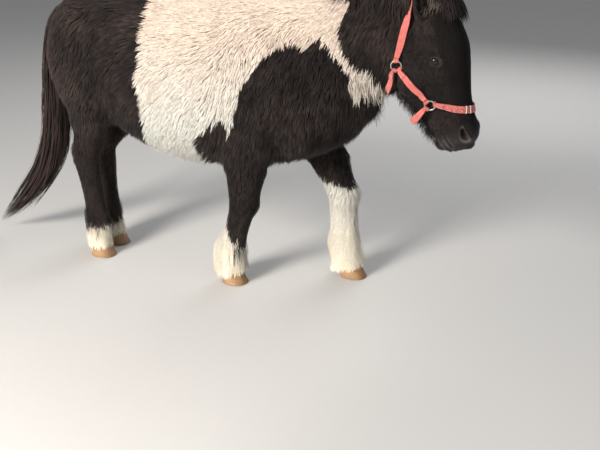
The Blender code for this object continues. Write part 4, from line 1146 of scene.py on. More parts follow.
def held_off(point, clearance):
    """The point, moved out until it is clear of the coat's outside; and the way out there."""
    best = None
    for tree in (body_outside, head_outside):
        spot, normal, _, far = tree.find_nearest(point)
        height = (point - spot).dot(normal)
        if height < 0 and far > 0.03:
            continue
        if best is None or far < best[0]:
            best = (far, spot, normal, height)
    if best is None:
        return point, Vector((0, 0, 1))
    _, spot, normal, height = best
    return (spot + normal * clearance if height < clearance else point), normal


def first_hit(start, way):
    """Where a line first meets the coat's outside."""
    hits = [tree.ray_cast(start, way) for tree in (body_outside, head_outside)]
    hits = [hit for hit in hits if hit[0] is not None]
    return min(hits, key=lambda hit: hit[3])[0] if hits else None


def strands(name, lines, ways, widths, thick, dark, tones, source, material=long_paint, profile=STRAND):
    """One piece of long hair from its lines, its widths and tones drawn at random."""
    width = source.uniform(*widths, len(lines))
    marks = {"dark": dark, "tone": source.uniform(*tones, len(lines))}
    return hair(name, lines, ways, width, width * thick, uv_near(lines[:, 0]), marks, material, profile)


# The falls of the mane: side, strands, least and most length, and how far up the crest they begin.
# The last one lies over the top of the halter.
MANE = ((1, 1500, 0.15, 0.28, 0), (-1, 1150, 0.08, 0.155, 0), (-1, 260, 0.09, 0.125, 0.94))


def mane():
    """Strands from both sides of the crest, each laid down the neck."""
    source = np.random.default_rng(31)
    lines, ways = [], []
    for side, count, least, most, first in MANE:
        for _ in range(count):
            share = source.uniform(first, 1.0)
            x = 0.262 + 0.436 * share
            top = first_hit(Vector((x, 0, 1.3)), Vector((0, 0, -1))).z
            full = 0.60 + 0.40 * math.sin(math.pi * min(1.0, share + 0.25))
            length = source.uniform(least, most) * full * (0.30 + 0.70 * float(ease(share / 0.24)))
            if side < 0:
                length *= 0.30 + 0.70 * float(ease((x - 0.44) / 0.14))
            drift = 0.03 * math.sin(x * 60) + source.uniform(-0.035, 0.025)
            layer = source.uniform(0.002, 0.020) + 0.006 * float(ease((x - 0.65) / 0.02))
            layer += 0.006 * (first > 0)
            root_y = side * source.uniform(-0.014, 0.024)
            points = [Vector((x, root_y * 0.5, top - 0.012))]
            points.append(Vector((x, side * 0.005 + root_y, top + 0.6 * layer + 0.006)))
            way = [Vector((0, side * 0.4, 1)), Vector((0, side * 0.6, 1))]
            for step in (0.15, 0.34, 0.55, 0.77, 1.0):
                start = Vector((x + drift * step**1.4, side * 0.4, top + 0.004 - length * step))
                spot = first_hit(start, Vector((0, -side, 0)))
                if spot is None:
                    break
                point, normal = held_off(spot, 0.002 + layer * (1 - 0.5 * step))
                points.append(point)
                way.append(normal)
            if len(points) < 7:
                continue
            lines.append([tuple(p) for p in points])
            ways.append([tuple(p) for p in way])
    lines, ways = np.array(lines), unit(np.array(ways))
    dark = darkness(lines[:, 1] * [1, 1, 0.97])
    made = strands("mane_strands", lines, ways, (0.0020, 0.0046), 0.28, dark, (0.1, 0.9), source)
    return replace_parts(made, "mane")


mane()


def forelock():
    """Strands from the poll down the brow, fanned out between the eyes."""
    source = np.random.default_rng(32)
    lines, ways = [], []
    for _ in range(900):
        share = source.uniform(-1, 1)
        length = source.uniform(0.040, 0.094) * (1 - 0.25 * abs(share))
        layer = source.uniform(0.002, 0.034)
        points = [Vector((0.724, share * 0.014, 0.940)), Vector((0.744, share * 0.026, 0.950 + layer * 0.6))]
        way = [Vector((0.2, 0, 1)), Vector((0.6, share * 0.3, 0.8))]
        for step in (0.12, 0.32, 0.54, 0.77, 1.0):
            spread = share * (0.030 + 0.030 * step) + source.uniform(-0.003, 0.003)
            aim = on_head(0.012 + length * step, 0.20, spread)
            spot = head_outside.ray_cast(aim, -OUT_OF_FACE)[0]
            point, normal = held_off(spot, 0.002 + layer * (1 - 0.25 * step**2))
            points.append(point)
            way.append(normal)
        lines.append([tuple(p) for p in points])
        ways.append([tuple(p) for p in way])
    lines, ways = np.array(lines), unit(np.array(ways))
    dark = np.ones(len(lines))
    made = strands("forelock_strands", lines, ways, (0.0018, 0.0040), 0.3, dark, (0.1, 0.9), source)
    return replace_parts(made, "forelock")


forelock()

# The tail's line, swept back to the tip, and the line of the hair that hangs straight
TAIL = (
    (-0.462, 0.0, 0.858, 0.018, 0.018),
    (-0.505, 0.0, 0.842, 0.034, 0.028),
    (-0.545, 0.0, 0.770, 0.045, 0.036),
    (-0.566, 0.0, 0.665, 0.052, 0.041),
    (-0.582, 0.0, 0.530, 0.055, 0.044),
    (-0.602, 0.0, 0.400, 0.054, 0.045),
    (-0.662, 0.0, 0.270, 0.048, 0.044),
    (-0.768, 0.0, 0.150, 0.036, 0.036),
    (-0.882, 0.0, 0.038, 0.012, 0.010),
)
HANGING_TAIL = TAIL[:2] + (
    (-0.543, 0.0, 0.770, 0.045, 0.036),
    (-0.558, 0.0, 0.665, 0.050, 0.040),
    (-0.564, 0.0, 0.530, 0.052, 0.040),
    (-0.568, 0.0, 0.420, 0.052, 0.040),
    (-0.580, 0.0, 0.330, 0.050, 0.038),
    (-0.612, 0.0, 0.240, 0.044, 0.034),
    (-0.668, 0.0, 0.150, 0.030, 0.024),
)


def tail():
    """Strands round the tail's line, some of them hanging straighter than the rest."""
    source = np.random.default_rng(33)
    swept, hanging = spline(TAIL, 201), spline(HANGING_TAIL, 201)
    count = 2000
    first = source.uniform(4, 120, count)
    first = np.where(source.uniform(0, 1, count) < 0.35, source.uniform(4, 50, count), first)
    last = np.minimum(first + source.uniform(60, 100, count), 200)
    turn = source.uniform(0, 2 * math.pi, count)
    depth = np.sqrt(source.uniform(0.10, 1.0, count))
    hang = np.clip(source.normal(0.10, 0.18, count), 0, 1) * (first > 20)
    hang = np.where(source.uniform(0, 1, count) < 0.10, source.uniform(0.4, 1, count), hang)
    steps = 9
    lines, ways = [], []
    wave = source.uniform(0, 2 * math.pi, count)
    for step in range(steps):
        share = step / (steps - 1)
        at = first + (last - first) * share
        rows = np.stack([np.interp(at, np.arange(201), swept[:, k]) for k in range(5)], 1)
        other = np.stack([np.interp(at, np.arange(201), hanging[:, k]) for k in range(5)], 1)
        rows = rows + (other - rows) * hang[:, None]
        reach = depth * (0.35 + 0.62 * min(1, share * 3.0))
        way = np.stack([np.zeros(count), np.cos(turn), np.zeros(count)], 1) * rows[:, 3:4]
        way += np.stack([-np.sin(turn), np.zeros(count), 0.4 * np.sin(turn)], 1) * rows[:, 4:5]
        sway = 0.004 * np.sin(wave + at / 14)
        lines.append(rows[:, :3] + way * reach[:, None] + np.stack([sway * 0.5, sway, sway * 0], 1))
        ways.append(unit(way))
    lines, ways = np.stack(lines, 1), np.stack(ways, 1)
    lines[:, :, 2] = np.maximum(lines[:, :, 2], 0.030)
    profile = (1.0, 1.0, 1.0, 1.0, 0.9, 0.75, 0.5)
    made = strands("tail_strands", lines, ways, (0.0024, 0.0056), 0.28, np.ones(count), (0.15, 1.0), source,
                   tail_paint, profile)
    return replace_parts(made, "tail")


tail_paint, work, shader = paint("tail_hair", Sheen_Weight=0.05)
node = hair_nodes(work, shader)
streak = work.ramp(work.read("tone"), 0.2, 1.0, top=0.65)
rusty = work.blend(streak, node.outputs["Colour"], (0.045, 0.024, 0.020, 1))
work.feed(shader, Base_Color=rusty)
tail()


def feather(joints, count, length, flare, source):
    """Lines of the long hair round the back and sides of one fetlock, over the heel and hoof."""
    fetlock = Vector(joints[3])
    lines, ways = [], []
    for _ in range(count):
        turn = math.pi + source.normal(0, 1.15)
        behind = 0.5 - 0.5 * math.cos(turn)
        start = fetlock + Vector((0, 0, source.uniform(-0.045, 0.035 + 0.030 * behind)))
        reach = min(length * source.uniform(0.45, 1.0), start.z - 0.036 + 0.024 * behind)
        layer = source.uniform(0.000, 0.007)
        wave, sway = source.uniform(0, 2 * math.pi), source.uniform(0.02, 0.06)
        points, normals = [], []
        for step, out in ((0.0, -0.004), (0.3, 0.004), (0.6, 0.008), (0.85, 0.008), (1.0, 0.005)):
            bent = turn + sway * math.sin(wave + 5 * step)
            way = Vector((math.cos(bent), math.sin(bent), 0))
            spot = start + way * 0.062 - Vector((0, 0, reach * step))
            hit = body_outside.ray_cast(spot, -way, 0.06)[0]
            point = hit if hit is not None else spot - way * 0.020
            point = point + way * (out + layer * step) * (flare if step else 1)
            point.z = max(point.z, 0.010)
            points.append(tuple(point))
            normals.append(tuple(way))
        lines.append(points)
        ways.append(normals)
    return lines, ways


source = np.random.default_rng(34)
lines, ways = [], []
for joints, count, length, flare in ((FORE_JOINTS, 1850, 0.085, 1.0), (HIND_JOINTS, 700, 0.050, 0.5)):
    for side in (-1, 1):
        more_lines, more_ways = feather(joints[side], count, length, flare, source)
        lines += more_lines
        ways += more_ways
lines, ways = np.array(lines), np.array(ways)
heads = source.permutation(len(lines))[: len(lines) // 14]
found = nearest_of(lines[:, -1], heads)
draw = (lines[found, -1] - lines[:, -1]) * source.uniform(0.1, 0.6, (len(lines), 1))
lines = lines + draw[:, None] * np.array((0.0, 0.1, 0.35, 0.7, 1.0))[None, :, None]
strands("feather_strands", lines, ways, (0.0007, 0.0015), 0.3, darkness(lines[:, 1]), (0.2, 0.95), source,
        profile=(1.0, 1.0, 0.7))


def hanging_patch(name, spots, fall, least, most, width, seed, spread=0.15, lift=0.010, dark=None):
    """Longer hair that hangs from places on the coat's outside."""
    source = np.random.default_rng(seed)
    lines, ways = [], []
    for spot in spots:
        near, normal = held_off(Vector(spot), 0.0)
        reach = source.uniform(least, most)
        way = Vector(fall) + Vector(source.normal(0, spread, 3))
        way.normalize()
        points = [near - normal * 0.010]
        for step, out in ((0.25, 0.4), (0.55, 0.8), (0.8, 1.0), (1.0, 0.9)):
            point, _ = held_off(near + way * reach * step + normal * lift * out * 0.5, 0.003)
            points.append(point)
        if (points[-1] - points[0]).length < reach * 1.6 + 0.012:
            lines.append([tuple(p) for p in points])
            ways.append([tuple(normal)] * 5)
    lines, ways = np.array(lines), np.array(ways)
    count = len(lines)
    wide = source.uniform(0.7, 1.2, count) * width
    shade = darkness(lines[:, 3]) if dark is None else np.full(count, dark)
    marks = {"dark": shade, "tone": source.uniform(0.1, 0.9, count)}
    return hair(name, lines, ways, wide, wide * 0.3, uv_near(lines[:, 0]), marks, long_paint,
                (1.0, 1.0, 0.7))


source = np.random.default_rng(35)
spots = []
while len(spots) < 1500:
    y, z = source.uniform(-0.085, 0.085), source.uniform(0.575, 0.760)
    hit = first_hit(Vector((0.9, y, z)) if z < 0.60 else Vector((0.62, y, z)), Vector((-1, 0, 0)))
    if hit is not None and hit.x < 0.61:
        spots.append(hit)
hanging_patch("breast_strands", spots, (-0.05, 0, -1), 0.026, 0.060, 0.0017, 36, 0.20)
for name, count, top, low, least, most, seed in (
    ("beard_strands", 900, 0.215, 0.375, 0.012, 0.036, 50),
    ("chin_strands", 300, 0.355, 0.405, 0.007, 0.018, 49),
):
    spots = []
    while len(spots) < count:
        along_jaw, y = source.uniform(top, low), source.uniform(-0.034, 0.034)
        hit = head_outside.ray_cast(on_head(along_jaw, -0.30, y), OUT_OF_FACE)[0]
        if hit is not None and -0.2 < (hit - POLL).dot(OUT_OF_FACE) < -0.03:
            spots.append(hit)
    hanging_patch(name, spots, (-0.10, 0, -1), least, most, 0.0012, seed)

source = np.random.default_rng(60)
for side, word in SIDES:
    spots = []
    while len(spots) < 170:
        along_ear, y = source.uniform(-0.030, 0.052), side * source.uniform(0.036, 0.082)
        hit = head_outside.ray_cast(on_head(along_ear, 0.12, y), -OUT_OF_FACE)[0]
        if hit is not None and abs(hit.y) > 0.034 and -0.035 < (hit - POLL).dot(OUT_OF_FACE) < 0.045:
            spots.append(hit)
    growth = (0.25, side * 0.35, 0.75)
    hanging_patch("ear_strands_" + word, spots, growth, 0.012, 0.030, 0.0013, 61 + side,
                  dark=0.88)

# Lashes: a short dark row along the upper lid, pointing out and down.
# Each is one stiff black hair, rooted at the edge of the lid.
source = np.random.default_rng(38)
lines, ways = [], []
for side in (-1, 1):
    middle, slit, up, outward = eye_frame(side)
    for turn in np.linspace(0.45, math.pi - 0.45, 42):
        u, v = slit_edge(turn)
        root = middle + slit * u + up * v + outward * math.sqrt(LASH_RADIUS**2 - u * u - v * v)
        reach = source.uniform(0.008, 0.012)
        fall = outward * 0.9 - up * source.uniform(0.35, 0.65) + slit * 0.35 * math.cos(turn)
        lines.append([root - outward * 0.001, root + fall * reach * 0.5 + up * 0.0006, root + fall * reach])
        ways.append([up] * 3)
lines, ways = np.array(lines), np.array(ways)
count = len(lines)
marks = {"dark": np.ones(count), "tone": np.full(count, 0.3)}
hair("lashes", lines, ways, np.full(count, 0.0005), np.full(count, 0.0004), uv_near(lines[:, 0]), marks,
     long_paint, (1.0,))

# The eyes: dark brown globes with a wide flat pupil, wet and glossy, half covered by the lids.
# Each is a sphere as big as the solid's, with its places across the iris kept on it.
wet = {"Roughness": 0.10, "Specular_IOR_Level": 0.5, "Coat_Weight": 0.2, "Coat_Roughness": 0.05}
eye_paint, work, shader = paint("eye", **wet)
u, v = work.read("slit"), work.read("up")
off_centre = work.math("SQRT", work.plus(work.times(u, u), work.times(v, v)))
squeezed = work.times(u, 0.42)
pupil = work.math("SQRT", work.plus(work.times(squeezed, squeezed), work.times(v, v)))
pupil = work.ramp(pupil, 0.17, 0.21)
iris = work.ramp(off_centre, 0.62, 0.74)
streaks = work.noise(work.add("CombineXYZ", {0: u, 1: v}).outputs[0], 14.0)
brown = work.blend(streaks, (0.026, 0.011, 0.005, 1), (0.060, 0.028, 0.012, 1))
brown = work.blend(iris, brown, (0.016, 0.010, 0.008, 1))
work.feed(shader, Base_Color=work.blend(pupil, (0.004, 0.005, 0.008, 1), brown))
for side, word in SIDES:
    middle, slit, up, outward = eye_frame(side)
    eye_mesh = bmesh.new()
    bmesh.ops.create_uvsphere(eye_mesh, u_segments=48, v_segments=32, radius=EYE_RADIUS)
    eye = object_of("eyeball_" + word, eye_mesh)
    from_middle = points_of(eye)
    set_points(eye, from_middle + middle)
    mark(eye.data, "slit", dots(from_middle, slit) / EYE_RADIUS)
    mark(eye.data, "up", dots(from_middle, up) / EYE_RADIUS)
    eye.data.materials.append(eye_paint)
    eye.data.shade_smooth()
    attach(eye, "root")
    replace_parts(eye, "eye_" + word)

# The hooves: blunt horn cones, flat below, with growth rings round them and fine grain down them.
# Orange-brown horn, earth-stained toward the ground. The feather hangs over their tops.
HOOF_HEIGHT = 0.050
GROWTH_RINGS = 900.0
HOOF = (
    (0.0, 0.003, 0.043, 0.037, 0.037),
    (0.0015, 0.003, 0.0455, 0.0395, 0.0395),
    (0.003, 0.003, 0.0460, 0.0400, 0.0400),
    (HOOF_HEIGHT * 0.3, -0.001, 0.0425, 0.0375, 0.0380),
    (HOOF_HEIGHT * 0.6, -0.005, 0.0390, 0.0350, 0.0360),
    (HOOF_HEIGHT, -0.012, 0.0330, 0.0290, 0.0310),
)
hoof_paint, work, shader = paint("horn", Specular_IOR_Level=0.45)
place = work.place()
height = work.add("SeparateXYZ", {0: place}).outputs[2]
squeezed = work.add("Mapping", {"Vector": place, "Scale": (1.0, 1.0, 0.06)}).outputs[0]
grain = work.noise(squeezed, 420.0, 3.0)
cloud = work.noise(place, 45.0, 3.0)
rings = work.math("SINE", work.times(work.plus(height, work.times(cloud, 0.004)), GROWTH_RINGS))
horn = work.blend(grain, (0.19, 0.100, 0.042, 1), (0.37, 0.215, 0.100, 1))
band = work.times(work.plus(rings, 1.0), 0.14)
horn = work.blend(band, horn, (0.17, 0.080, 0.038, 1))
soil = work.ramp(height, 0.018, 0.0, top=0.75)
horn = work.blend(work.times(soil, cloud), horn, (0.10, 0.065, 0.035, 1))
work.feed(shader, Base_Color=horn, Roughness=work.ramp(cloud, bottom=0.42, top=0.68))
relief = work.plus(work.times(rings, 0.35), grain)
work.emboss(shader, relief, 0.0006, 0.8)
for side, word in SIDES:
    for kind, joints in (("fore", FORE_JOINTS[side]), ("hind", HIND_JOINTS[side])):
        rings = []
        for z, lead, front, back, half in spline(HOOF, 46):
            groove = 1 - 0.006 * (0.5 + 0.5 * math.sin(z * GROWTH_RINGS)) * (0.004 < z)
            sizes = half * groove, front * groove, back * groove
            middle = joints[-1][0] + 0.008 + lead, joints[-1][1], max(z, 0.0)
            rings.append(section(middle, (0, 1, 0), (1, 0, 0), *sizes, 2.2, 2.0, 56))
        hoof = loft(rings)
        hoof.name = hoof.data.name = "horn_" + kind + "_" + word
        hoof.data.materials.append(hoof_paint)
        hoof.data.shade_smooth()
        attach(hoof, "root")
        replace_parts(hoof, "hoof_" + kind + "_" + word)

# The rings of the halter: bent wire, welded round, worn and finely scratched, lying flat on cheek and nose.
# Four of them join the six runs of webbing.
RING_RADIUS = 0.0150
RING_WIRE = 0.0023


def torus(middle, axis, radius, wire, around, about, half_turn=math.pi, toward=None):
    """A ring of round wire, or only the part within half_turn of the toward direction."""
    axis = Vector(axis).normalized()
    first = axis.orthogonal().normalized()
    if toward is not None:
        first = (Vector(toward) - axis * axis.dot(Vector(toward))).normalized()
    second = axis.cross(first)
    mesh = bmesh.new()
    whole = toward is None
    rings = []
    for k in range(around if whole else around + 1):
        turn = half_turn * (2 * k / around - 1)
        way = first * math.cos(turn) + second * math.sin(turn)
        ring = []
        for n in range(about):
            a = 2 * math.pi * (n + 0.5) / about
            spot = middle + way * (radius + wire * math.cos(a)) + axis * wire * math.sin(a)
            ring.append(mesh.verts.new(spot))
        rings.append(ring)
    wall(mesh, rings + rings[:1] if whole else rings, ends=not whole)
    bmesh.ops.recalc_face_normals(mesh, faces=mesh.faces)
    return object_of("ring", mesh)


ring_paint, work, shader = paint("ring_metal", Metallic=1.0)
place = work.place()
worn = work.noise(place, 180.0, 4.0)
scratch = work.noise(place, 2600.0)
metal = work.blend(worn, (0.52, 0.51, 0.49, 1), (0.74, 0.74, 0.75, 1))
work.feed(shader, Base_Color=metal, Roughness=work.ramp(worn, bottom=0.20, top=0.46))
work.emboss(shader, scratch, 0.00015, 0.5)
rings = {}
for side, word in SIDES:
    for kind, along, out in (("cheek", 0.161, -0.104), ("nose", 0.296, -0.048)):
        node = "ring_" + kind + "_" + word
        low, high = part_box(node)
        middle = (Vector(low) + Vector(high)) / 2
        normal = head_outside.find_nearest(on_head(along, out, side * 0.09))[1]
        rings[kind, side] = middle, normal
        ring = torus(middle, normal, RING_RADIUS, RING_WIRE, 64, 20)
        ring.name = ring.data.name = "wire_" + kind + "_" + word
        ring.data.materials.append(ring_paint)
        ring.data.shade_smooth()
        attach(ring, "root")
        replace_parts(ring, node)

# The webbing: flat woven coral tape, folded round the rings and stitched back on itself in two rows.
# The noseband is woven with a dark and pale fleck and carries two pale keepers on each side.
STRAP_WIDE = 0.020
STRAP_THICK = 0.0026
STRAP_RISE = 0.0022
FOLD_LENGTH = 0.024
STITCH_STEP = 0.0034
STITCH_SIZE = (0.0024, 0.0007, 0.0007)

web_paint, work, shader = paint("webbing", Specular_IOR_Level=0.3, Sheen_Weight=0.25, Sheen_Roughness=0.4)
across, run, fleck = work.read("across"), work.read("run"), work.read("fleck")
place = work.place()
weft = work.math("SINE", work.times(run, 2 * math.pi / 0.0021))
warp = work.math("SINE", work.times(across, math.pi * 8.5))
weave = work.math("MULTIPLY_ADD", work.times(weft, warp), 0.5)
weave = work.plus(weave, 0.5)
fuzz = work.noise(place, 900.0, 3.0)
dirt = work.noise(place, 55.0, 4.0)
tape = work.blend(weave, (0.54, 0.090, 0.080, 1), (0.76, 0.195, 0.165, 1))
spread = work.add("CombineXYZ", {0: work.times(run, 300.0), 1: work.times(across, 3.4)})
chance = work.noise(spread.outputs[0], 1.0)
deep = work.times(work.ramp(chance, 0.50, 0.56), fleck)
pale = work.times(work.ramp(chance, 0.44, 0.38), fleck)
tape = work.blend(work.times(deep, 0.85), tape, (0.30, 0.035, 0.045, 1))
tape = work.blend(work.times(pale, 0.55), tape, (0.85, 0.55, 0.50, 1))
grime = work.ramp(dirt, 0.45, 0.80, top=0.55)
tape = work.blend(grime, tape, (0.28, 0.10, 0.075, 1))
work.feed(shader, Base_Color=tape, Roughness=work.ramp(fuzz, bottom=0.62, top=0.88))
relief = work.plus(weave, work.times(fuzz, 0.6))
work.emboss(shader, relief, 0.0005, 0.9)

thread_paint, work, shader = paint("thread", Roughness=0.7)
place = work.place()
twist = work.noise(place, 1500.0)
thread = work.blend(twist, (0.70, 0.42, 0.38, 1), (0.86, 0.66, 0.60, 1))
work.feed(shader, Base_Color=thread)


def tape_over(mesh, rows, low, high, lift, marks, fleck, thick=STRAP_THICK):
    """One layer of tape through rows low to high, lifted, with softly rounded edges."""
    around = 18
    rings = []
    for x, y, z, run_x, run_y, run_z, way_x, way_y, way_z, wide, length in rows[low:high]:
        way = Vector((way_x, way_y, way_z)).normalized()
        side = Vector((run_x, run_y, run_z)).cross(way).normalized()
        ring = []
        for n in range(around):
            c, s = math.cos(2 * math.pi * n / around), math.sin(2 * math.pi * n / around)
            out = math.copysign(abs(c) ** 0.28, c)
            rise = 0.5 + 0.5 * math.copysign(abs(s) ** 0.55, s)
            corner = Vector((x, y, z)) + side * out * wide / 2 + way * (lift + thick * rise)
            ring.append(mesh.verts.new(corner))
            marks.append((out, length, fleck))
        rings.append(ring)
    wall(mesh, rings)


def stitch(mesh, place, run, way):
    """One stitch of thread, a small raised bar."""
    side = run.cross(way)
    block = bmesh.new()
    bmesh.ops.create_cube(block, size=1)
    bmesh.ops.bevel(block, geom=block.edges[:], offset=0.18, segments=1, affect="EDGES")
    long, wide, high = STITCH_SIZE
    frame_of = Matrix((run * long, side * wide, way * high)).transposed().to_4x4()
    bmesh.ops.transform(block, matrix=Matrix.Translation(place) @ frame_of, verts=block.verts)
    copy = {v: mesh.verts.new(v.co) for v in block.verts}
    for face in block.faces:
        mesh.faces.new([copy[v] for v in face.verts])
    block.free()


def laid_rows(line, ways):
    """Rows down a strap, clear of the face across its width: place, run, way out, width, length so far."""
    rows, length, last = [], 0.0, len(line) - 1
    for k, point in enumerate(line):
        run = (line[min(k + 1, last)] - line[max(k - 1, 0)]).normalized()
        way = (ways[k] - run * run.dot(ways[k])).normalized()
        from_end = min(k, last - k)
        wide = STRAP_WIDE * min(1.0, 0.62 + from_end * 0.16)
        lift = STRAP_RISE + 0.0045 * max(0.0, 1 - from_end / 1.6)
        side = run.cross(way)
        rise = lift
        for share in (-0.5, -0.25, 0, 0.25, 0.5):
            under = point + side * share * wide
            spot, normal, _, _ = head_outside.find_nearest(under + way * lift)
            if (under + way * lift - spot).dot(normal) < lift:
                rise = max(rise, (spot + normal * lift - under).dot(way))
        length += (point - line[max(k - 1, 0)]).length
        rows.append((*(point + way * rise), *run, *way, wide, length))
    return rows


def ring_folds(name, ends, fleck):
    """The turns of tape round the rings at a strap's ends."""
    fold_mesh = bmesh.new()
    for middle, axis, toward in ends:
        fold = torus(middle, axis, RING_RADIUS, RING_WIRE + 0.0008 + STRAP_THICK, 12, 18, 0.42, toward)
        fold_mesh.from_mesh(fold.data)
        drop(fold)
    folds = object_of(name + "_folds", fold_mesh)
    spots = points_of(folds)
    mark(folds.data, "across", spots[:, 0] * 90)
    mark(folds.data, "run", spots[:, 2])
    mark(folds.data, "fleck", np.full(len(spots), fleck))
    folds.data.materials.append(web_paint)
    return folds


def stitching(name, fine, folded):
    """Two rows of stitches through each folded end."""
    thread_mesh = bmesh.new()
    for first, last in ((2, folded - 1), (len(fine) - folded, len(fine) - 3)):
        for at in np.arange(fine[first, -1] + 0.002, fine[last, -1], STITCH_STEP):
            row = np.array([np.interp(at, fine[:, -1], fine[:, n]) for n in range(11)])
            place, run, way = Vector(row[0:3]), Vector(row[3:6]).normalized(), Vector(row[6:9]).normalized()
            run = (run - way * run.dot(way)).normalized()
            side = run.cross(way)
            for share in (-0.36, 0.36):
                top = place + side * share * row[9] + way * (STRAP_THICK * 1.93)
                stitch(thread_mesh, top, run, way)
    threads = object_of(name + "_thread", thread_mesh)
    threads.data.materials.append(thread_paint)
    return threads


def strap(name, path, count, ends, hung_from=None, fleck=0.0):
    """A run of webbing over the face, from ring to ring, with its ends folded back and stitched."""
    line = [Vector(p) for p in spline(path, count)]
    if hung_from is None:
        found = [head_outside.find_nearest(point)[:2] for point in line]
        line, ways = [spot for spot, _ in found], [normal for _, normal in found]
    else:
        ways = [(point - hung_from).normalized() for point in line]
    for _ in range(2):
        for row in (line, ways):
            row[1:-1] = [(before + at * 2 + after) / 4 for before, at, after in zip(row, row[1:], row[2:])]
    fine = spline(laid_rows(line, ways), (count - 1) * 4 + 1)
    mesh, marks = bmesh.new(), []
    tape_over(mesh, fine, 0, len(fine), 0.0, marks, fleck)
    folded = max(4, int(np.searchsorted(fine[:, -1], FOLD_LENGTH)))
    tape_over(mesh, fine, 1, folded, STRAP_THICK * 0.92, marks, fleck)
    tape_over(mesh, fine, len(fine) - folded, len(fine) - 1, STRAP_THICK * 0.92, marks, fleck)
    bmesh.ops.recalc_face_normals(mesh, faces=mesh.faces)
    made = object_of(name + "_tape", mesh)
    for key, values in zip(("across", "run", "fleck"), zip(*marks)):
        mark(made.data, key, values)
    made.data.materials.append(web_paint)
    for piece in (made, ring_folds(name, ends, fleck), stitching(name, fine, folded)):
        piece.data.shade_smooth()
        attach(piece, "root")
        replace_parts(piece, name)
    return fine


def ring_end(kind, side, along, out, reach=1.25):
    """A point just outside a ring, toward a place on the head."""
    middle, normal = rings[kind, side]
    way = on_head(along, out, side * 0.08) - middle
    way = (way - normal * way.dot(normal)).normalized()
    return middle + way * RING_RADIUS * reach, (middle, normal, way)


start, fold_a = ring_end("cheek", -1, 0.05, -0.075)
end, fold_b = ring_end("cheek", 1, 0.05, -0.075)
over = [(0.672, 0.090, 0.795), (0.684, 0.090, 0.855), (0.689, 0.070, 0.915), (0.689, 0.036, 0.955)]
path = [start] + [(x, -y, z) for x, y, z in over] + [(0.689, 0.0, 0.965)] + over[::-1] + [end]
strap("halter_crown", path, 23, (fold_a, fold_b))
for side, word in SIDES:
    start, fold_a = ring_end("cheek", side, 0.285, -0.04)
    end, fold_b = ring_end("nose", side, 0.165, -0.095)
    strap("halter_cheek_" + word, [start, (start + end) / 2, end], 10, (fold_a, fold_b))
start, fold_a = ring_end("nose", -1, 0.306, 0.03)
end, fold_b = ring_end("nose", 1, 0.306, 0.03)
path = [start, on_head(0.317, 0.020, -0.07), on_head(0.331, 0.070, -0.035), on_head(0.335, 0.085, 0)]
path = path + [on_head(0.331, 0.070, 0.035), on_head(0.317, 0.020, 0.07), end]
noseband = strap("halter_noseband", path, 17, (fold_a, fold_b), fleck=1.0)
keeper_mesh = bmesh.new()
for at_side in (-0.037, -0.023, 0.023, 0.037):
    k = int(np.argmin(np.abs(noseband[:, 1] - at_side) - 10.0 * (noseband[:, 0] > 0.80)))
    rows = np.repeat(noseband[k][None], 3, 0)
    rows[:, :3] += unit(noseband[k, 3:6]) * np.array([-0.0016, 0.0, 0.0016])[:, None]
    rows[:, 9] = STRAP_WIDE + 0.0020
    tape_over(keeper_mesh, rows, 0, 3, -0.0007, [], 0.0, STRAP_THICK + 0.0016)
bmesh.ops.recalc_face_normals(keeper_mesh, faces=keeper_mesh.faces)
keepers = object_of("keepers", keeper_mesh)
keeper_paint, work, shader = paint("keeper", Roughness=0.5)
worn = work.noise(work.place(), 300.0)
work.feed(shader, Base_Color=work.blend(worn, (0.80, 0.76, 0.72, 1), (0.62, 0.50, 0.46, 1)))
keepers.data.materials.append(keeper_paint)
keepers.data.shade_smooth()
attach(keepers, "root")
start, fold_a = ring_end("nose", -1, 0.330, -0.09)
end, fold_b = ring_end("nose", 1, 0.330, -0.09)
path = [start, on_head(0.320, -0.094, -0.056), on_head(0.334, -0.128, 0), on_head(0.320, -0.094, 0.056), end]
strap("halter_chin", path, 13, (fold_a, fold_b), on_head(0.312, -0.050))
start, fold_a = ring_end("cheek", -1, 0.230, -0.150)
end, fold_b = ring_end("cheek", 1, 0.230, -0.150)
path = [start, on_head(0.212, -0.142, -0.066), on_head(0.232, -0.176, 0), on_head(0.212, -0.142, 0.066), end]
strap("halter_throat", path, 13, (fold_a, fold_b), on_head(0.200, -0.080))

# The floor, soft studio light and the camera at the photo's viewing angle.
# A pale sheet runs flat under the hooves and far back.
CAMERA_PLACE = (1.39, -2.51, 1.21)
CAMERA_AHEAD = (-0.3875, 0.9219)
CAMERA_DOWN = math.radians(20.5)
FOCAL_PIXELS = 900.0
IMAGE_WIDE = 600.0

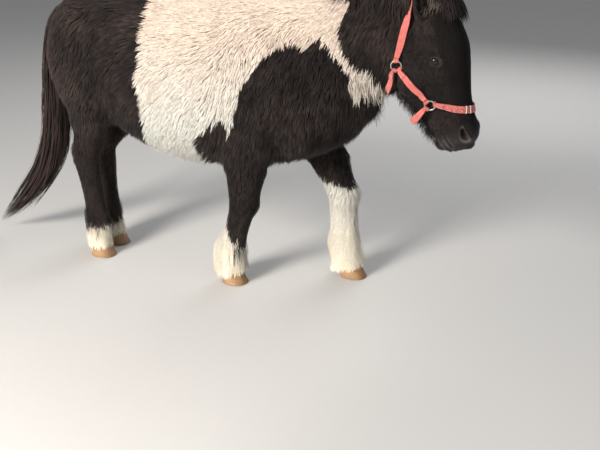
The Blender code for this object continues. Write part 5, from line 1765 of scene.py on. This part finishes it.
floor_mesh = bmesh.new()
bmesh.ops.create_grid(floor_mesh, x_segments=2, y_segments=2, size=30.0)
floor = object_of("floor", floor_mesh)
floor.location.z = -0.0006
floor_paint, work, shader = paint("floor", Roughness=0.85)
cloud = work.add("TexNoise", {"Scale": 1.5, "Detail": 2.0}).outputs["Fac"]
work.feed(shader, Base_Color=work.blend(cloud, (0.58, 0.57, 0.555, 1), (0.62, 0.61, 0.595, 1)))
floor.data.materials.append(floor_paint)


def lamp(name, place, aim, power, size, colour):
    """A square lamp, turned to its aim."""
    light = bpy.data.lights.new(name, "AREA")
    light.energy, light.size, light.color = power, size, colour
    made = bpy.data.objects.new(name, light)
    bpy.context.scene.collection.objects.link(made)
    made.location = place
    made.rotation_euler = (Vector(aim) - Vector(place)).to_track_quat("-Z", "Y").to_euler()
    return made


lamp("key", (-0.9, -3.5, 2.3), (0.1, 0, 0.45), 226, 1.2, (1.0, 0.96, 0.90))
lamp("fill", (3.2, -2.4, 2.0), (0.3, 0, 0.6), 14, 2.4, (0.93, 0.97, 1.0))
lamp("back", (0.5, 3.4, 2.8), (0.0, 0, 0.6), 70, 2.4, (1.0, 1.0, 1.0))
# The low one has a narrow beam, for the lower legs alone
low = lamp("low", (-0.3, -3.1, 0.22), (0.14, 0, -0.06), 2.4, 1.3, (1.0, 0.94, 0.84))
low.data.shape, low.data.size_y, low.data.spread = "RECTANGLE", 0.14, math.radians(13)
world = bpy.data.worlds.new("studio")
world.use_nodes = True
world.node_tree.nodes["Background"].inputs[0].default_value = (0.93, 0.95, 1.0, 1)
world.node_tree.nodes["Background"].inputs[1].default_value = 0.28
bpy.context.scene.world = world
bpy.context.scene.view_settings.view_transform = "Standard"

lens = bpy.data.cameras.new("camera")
lens.sensor_width = 36.0
lens.lens = FOCAL_PIXELS / IMAGE_WIDE * 36.0
camera = bpy.data.objects.new("camera", lens)
bpy.context.scene.collection.objects.link(camera)
camera.location = CAMERA_PLACE
level = Vector((*CAMERA_AHEAD, 0)).normalized()
ahead = level * math.cos(CAMERA_DOWN) + Vector((0, 0, -math.sin(CAMERA_DOWN)))
camera.rotation_euler = ahead.to_track_quat("-Z", "Y").to_euler()
bpy.context.scene.camera = camera
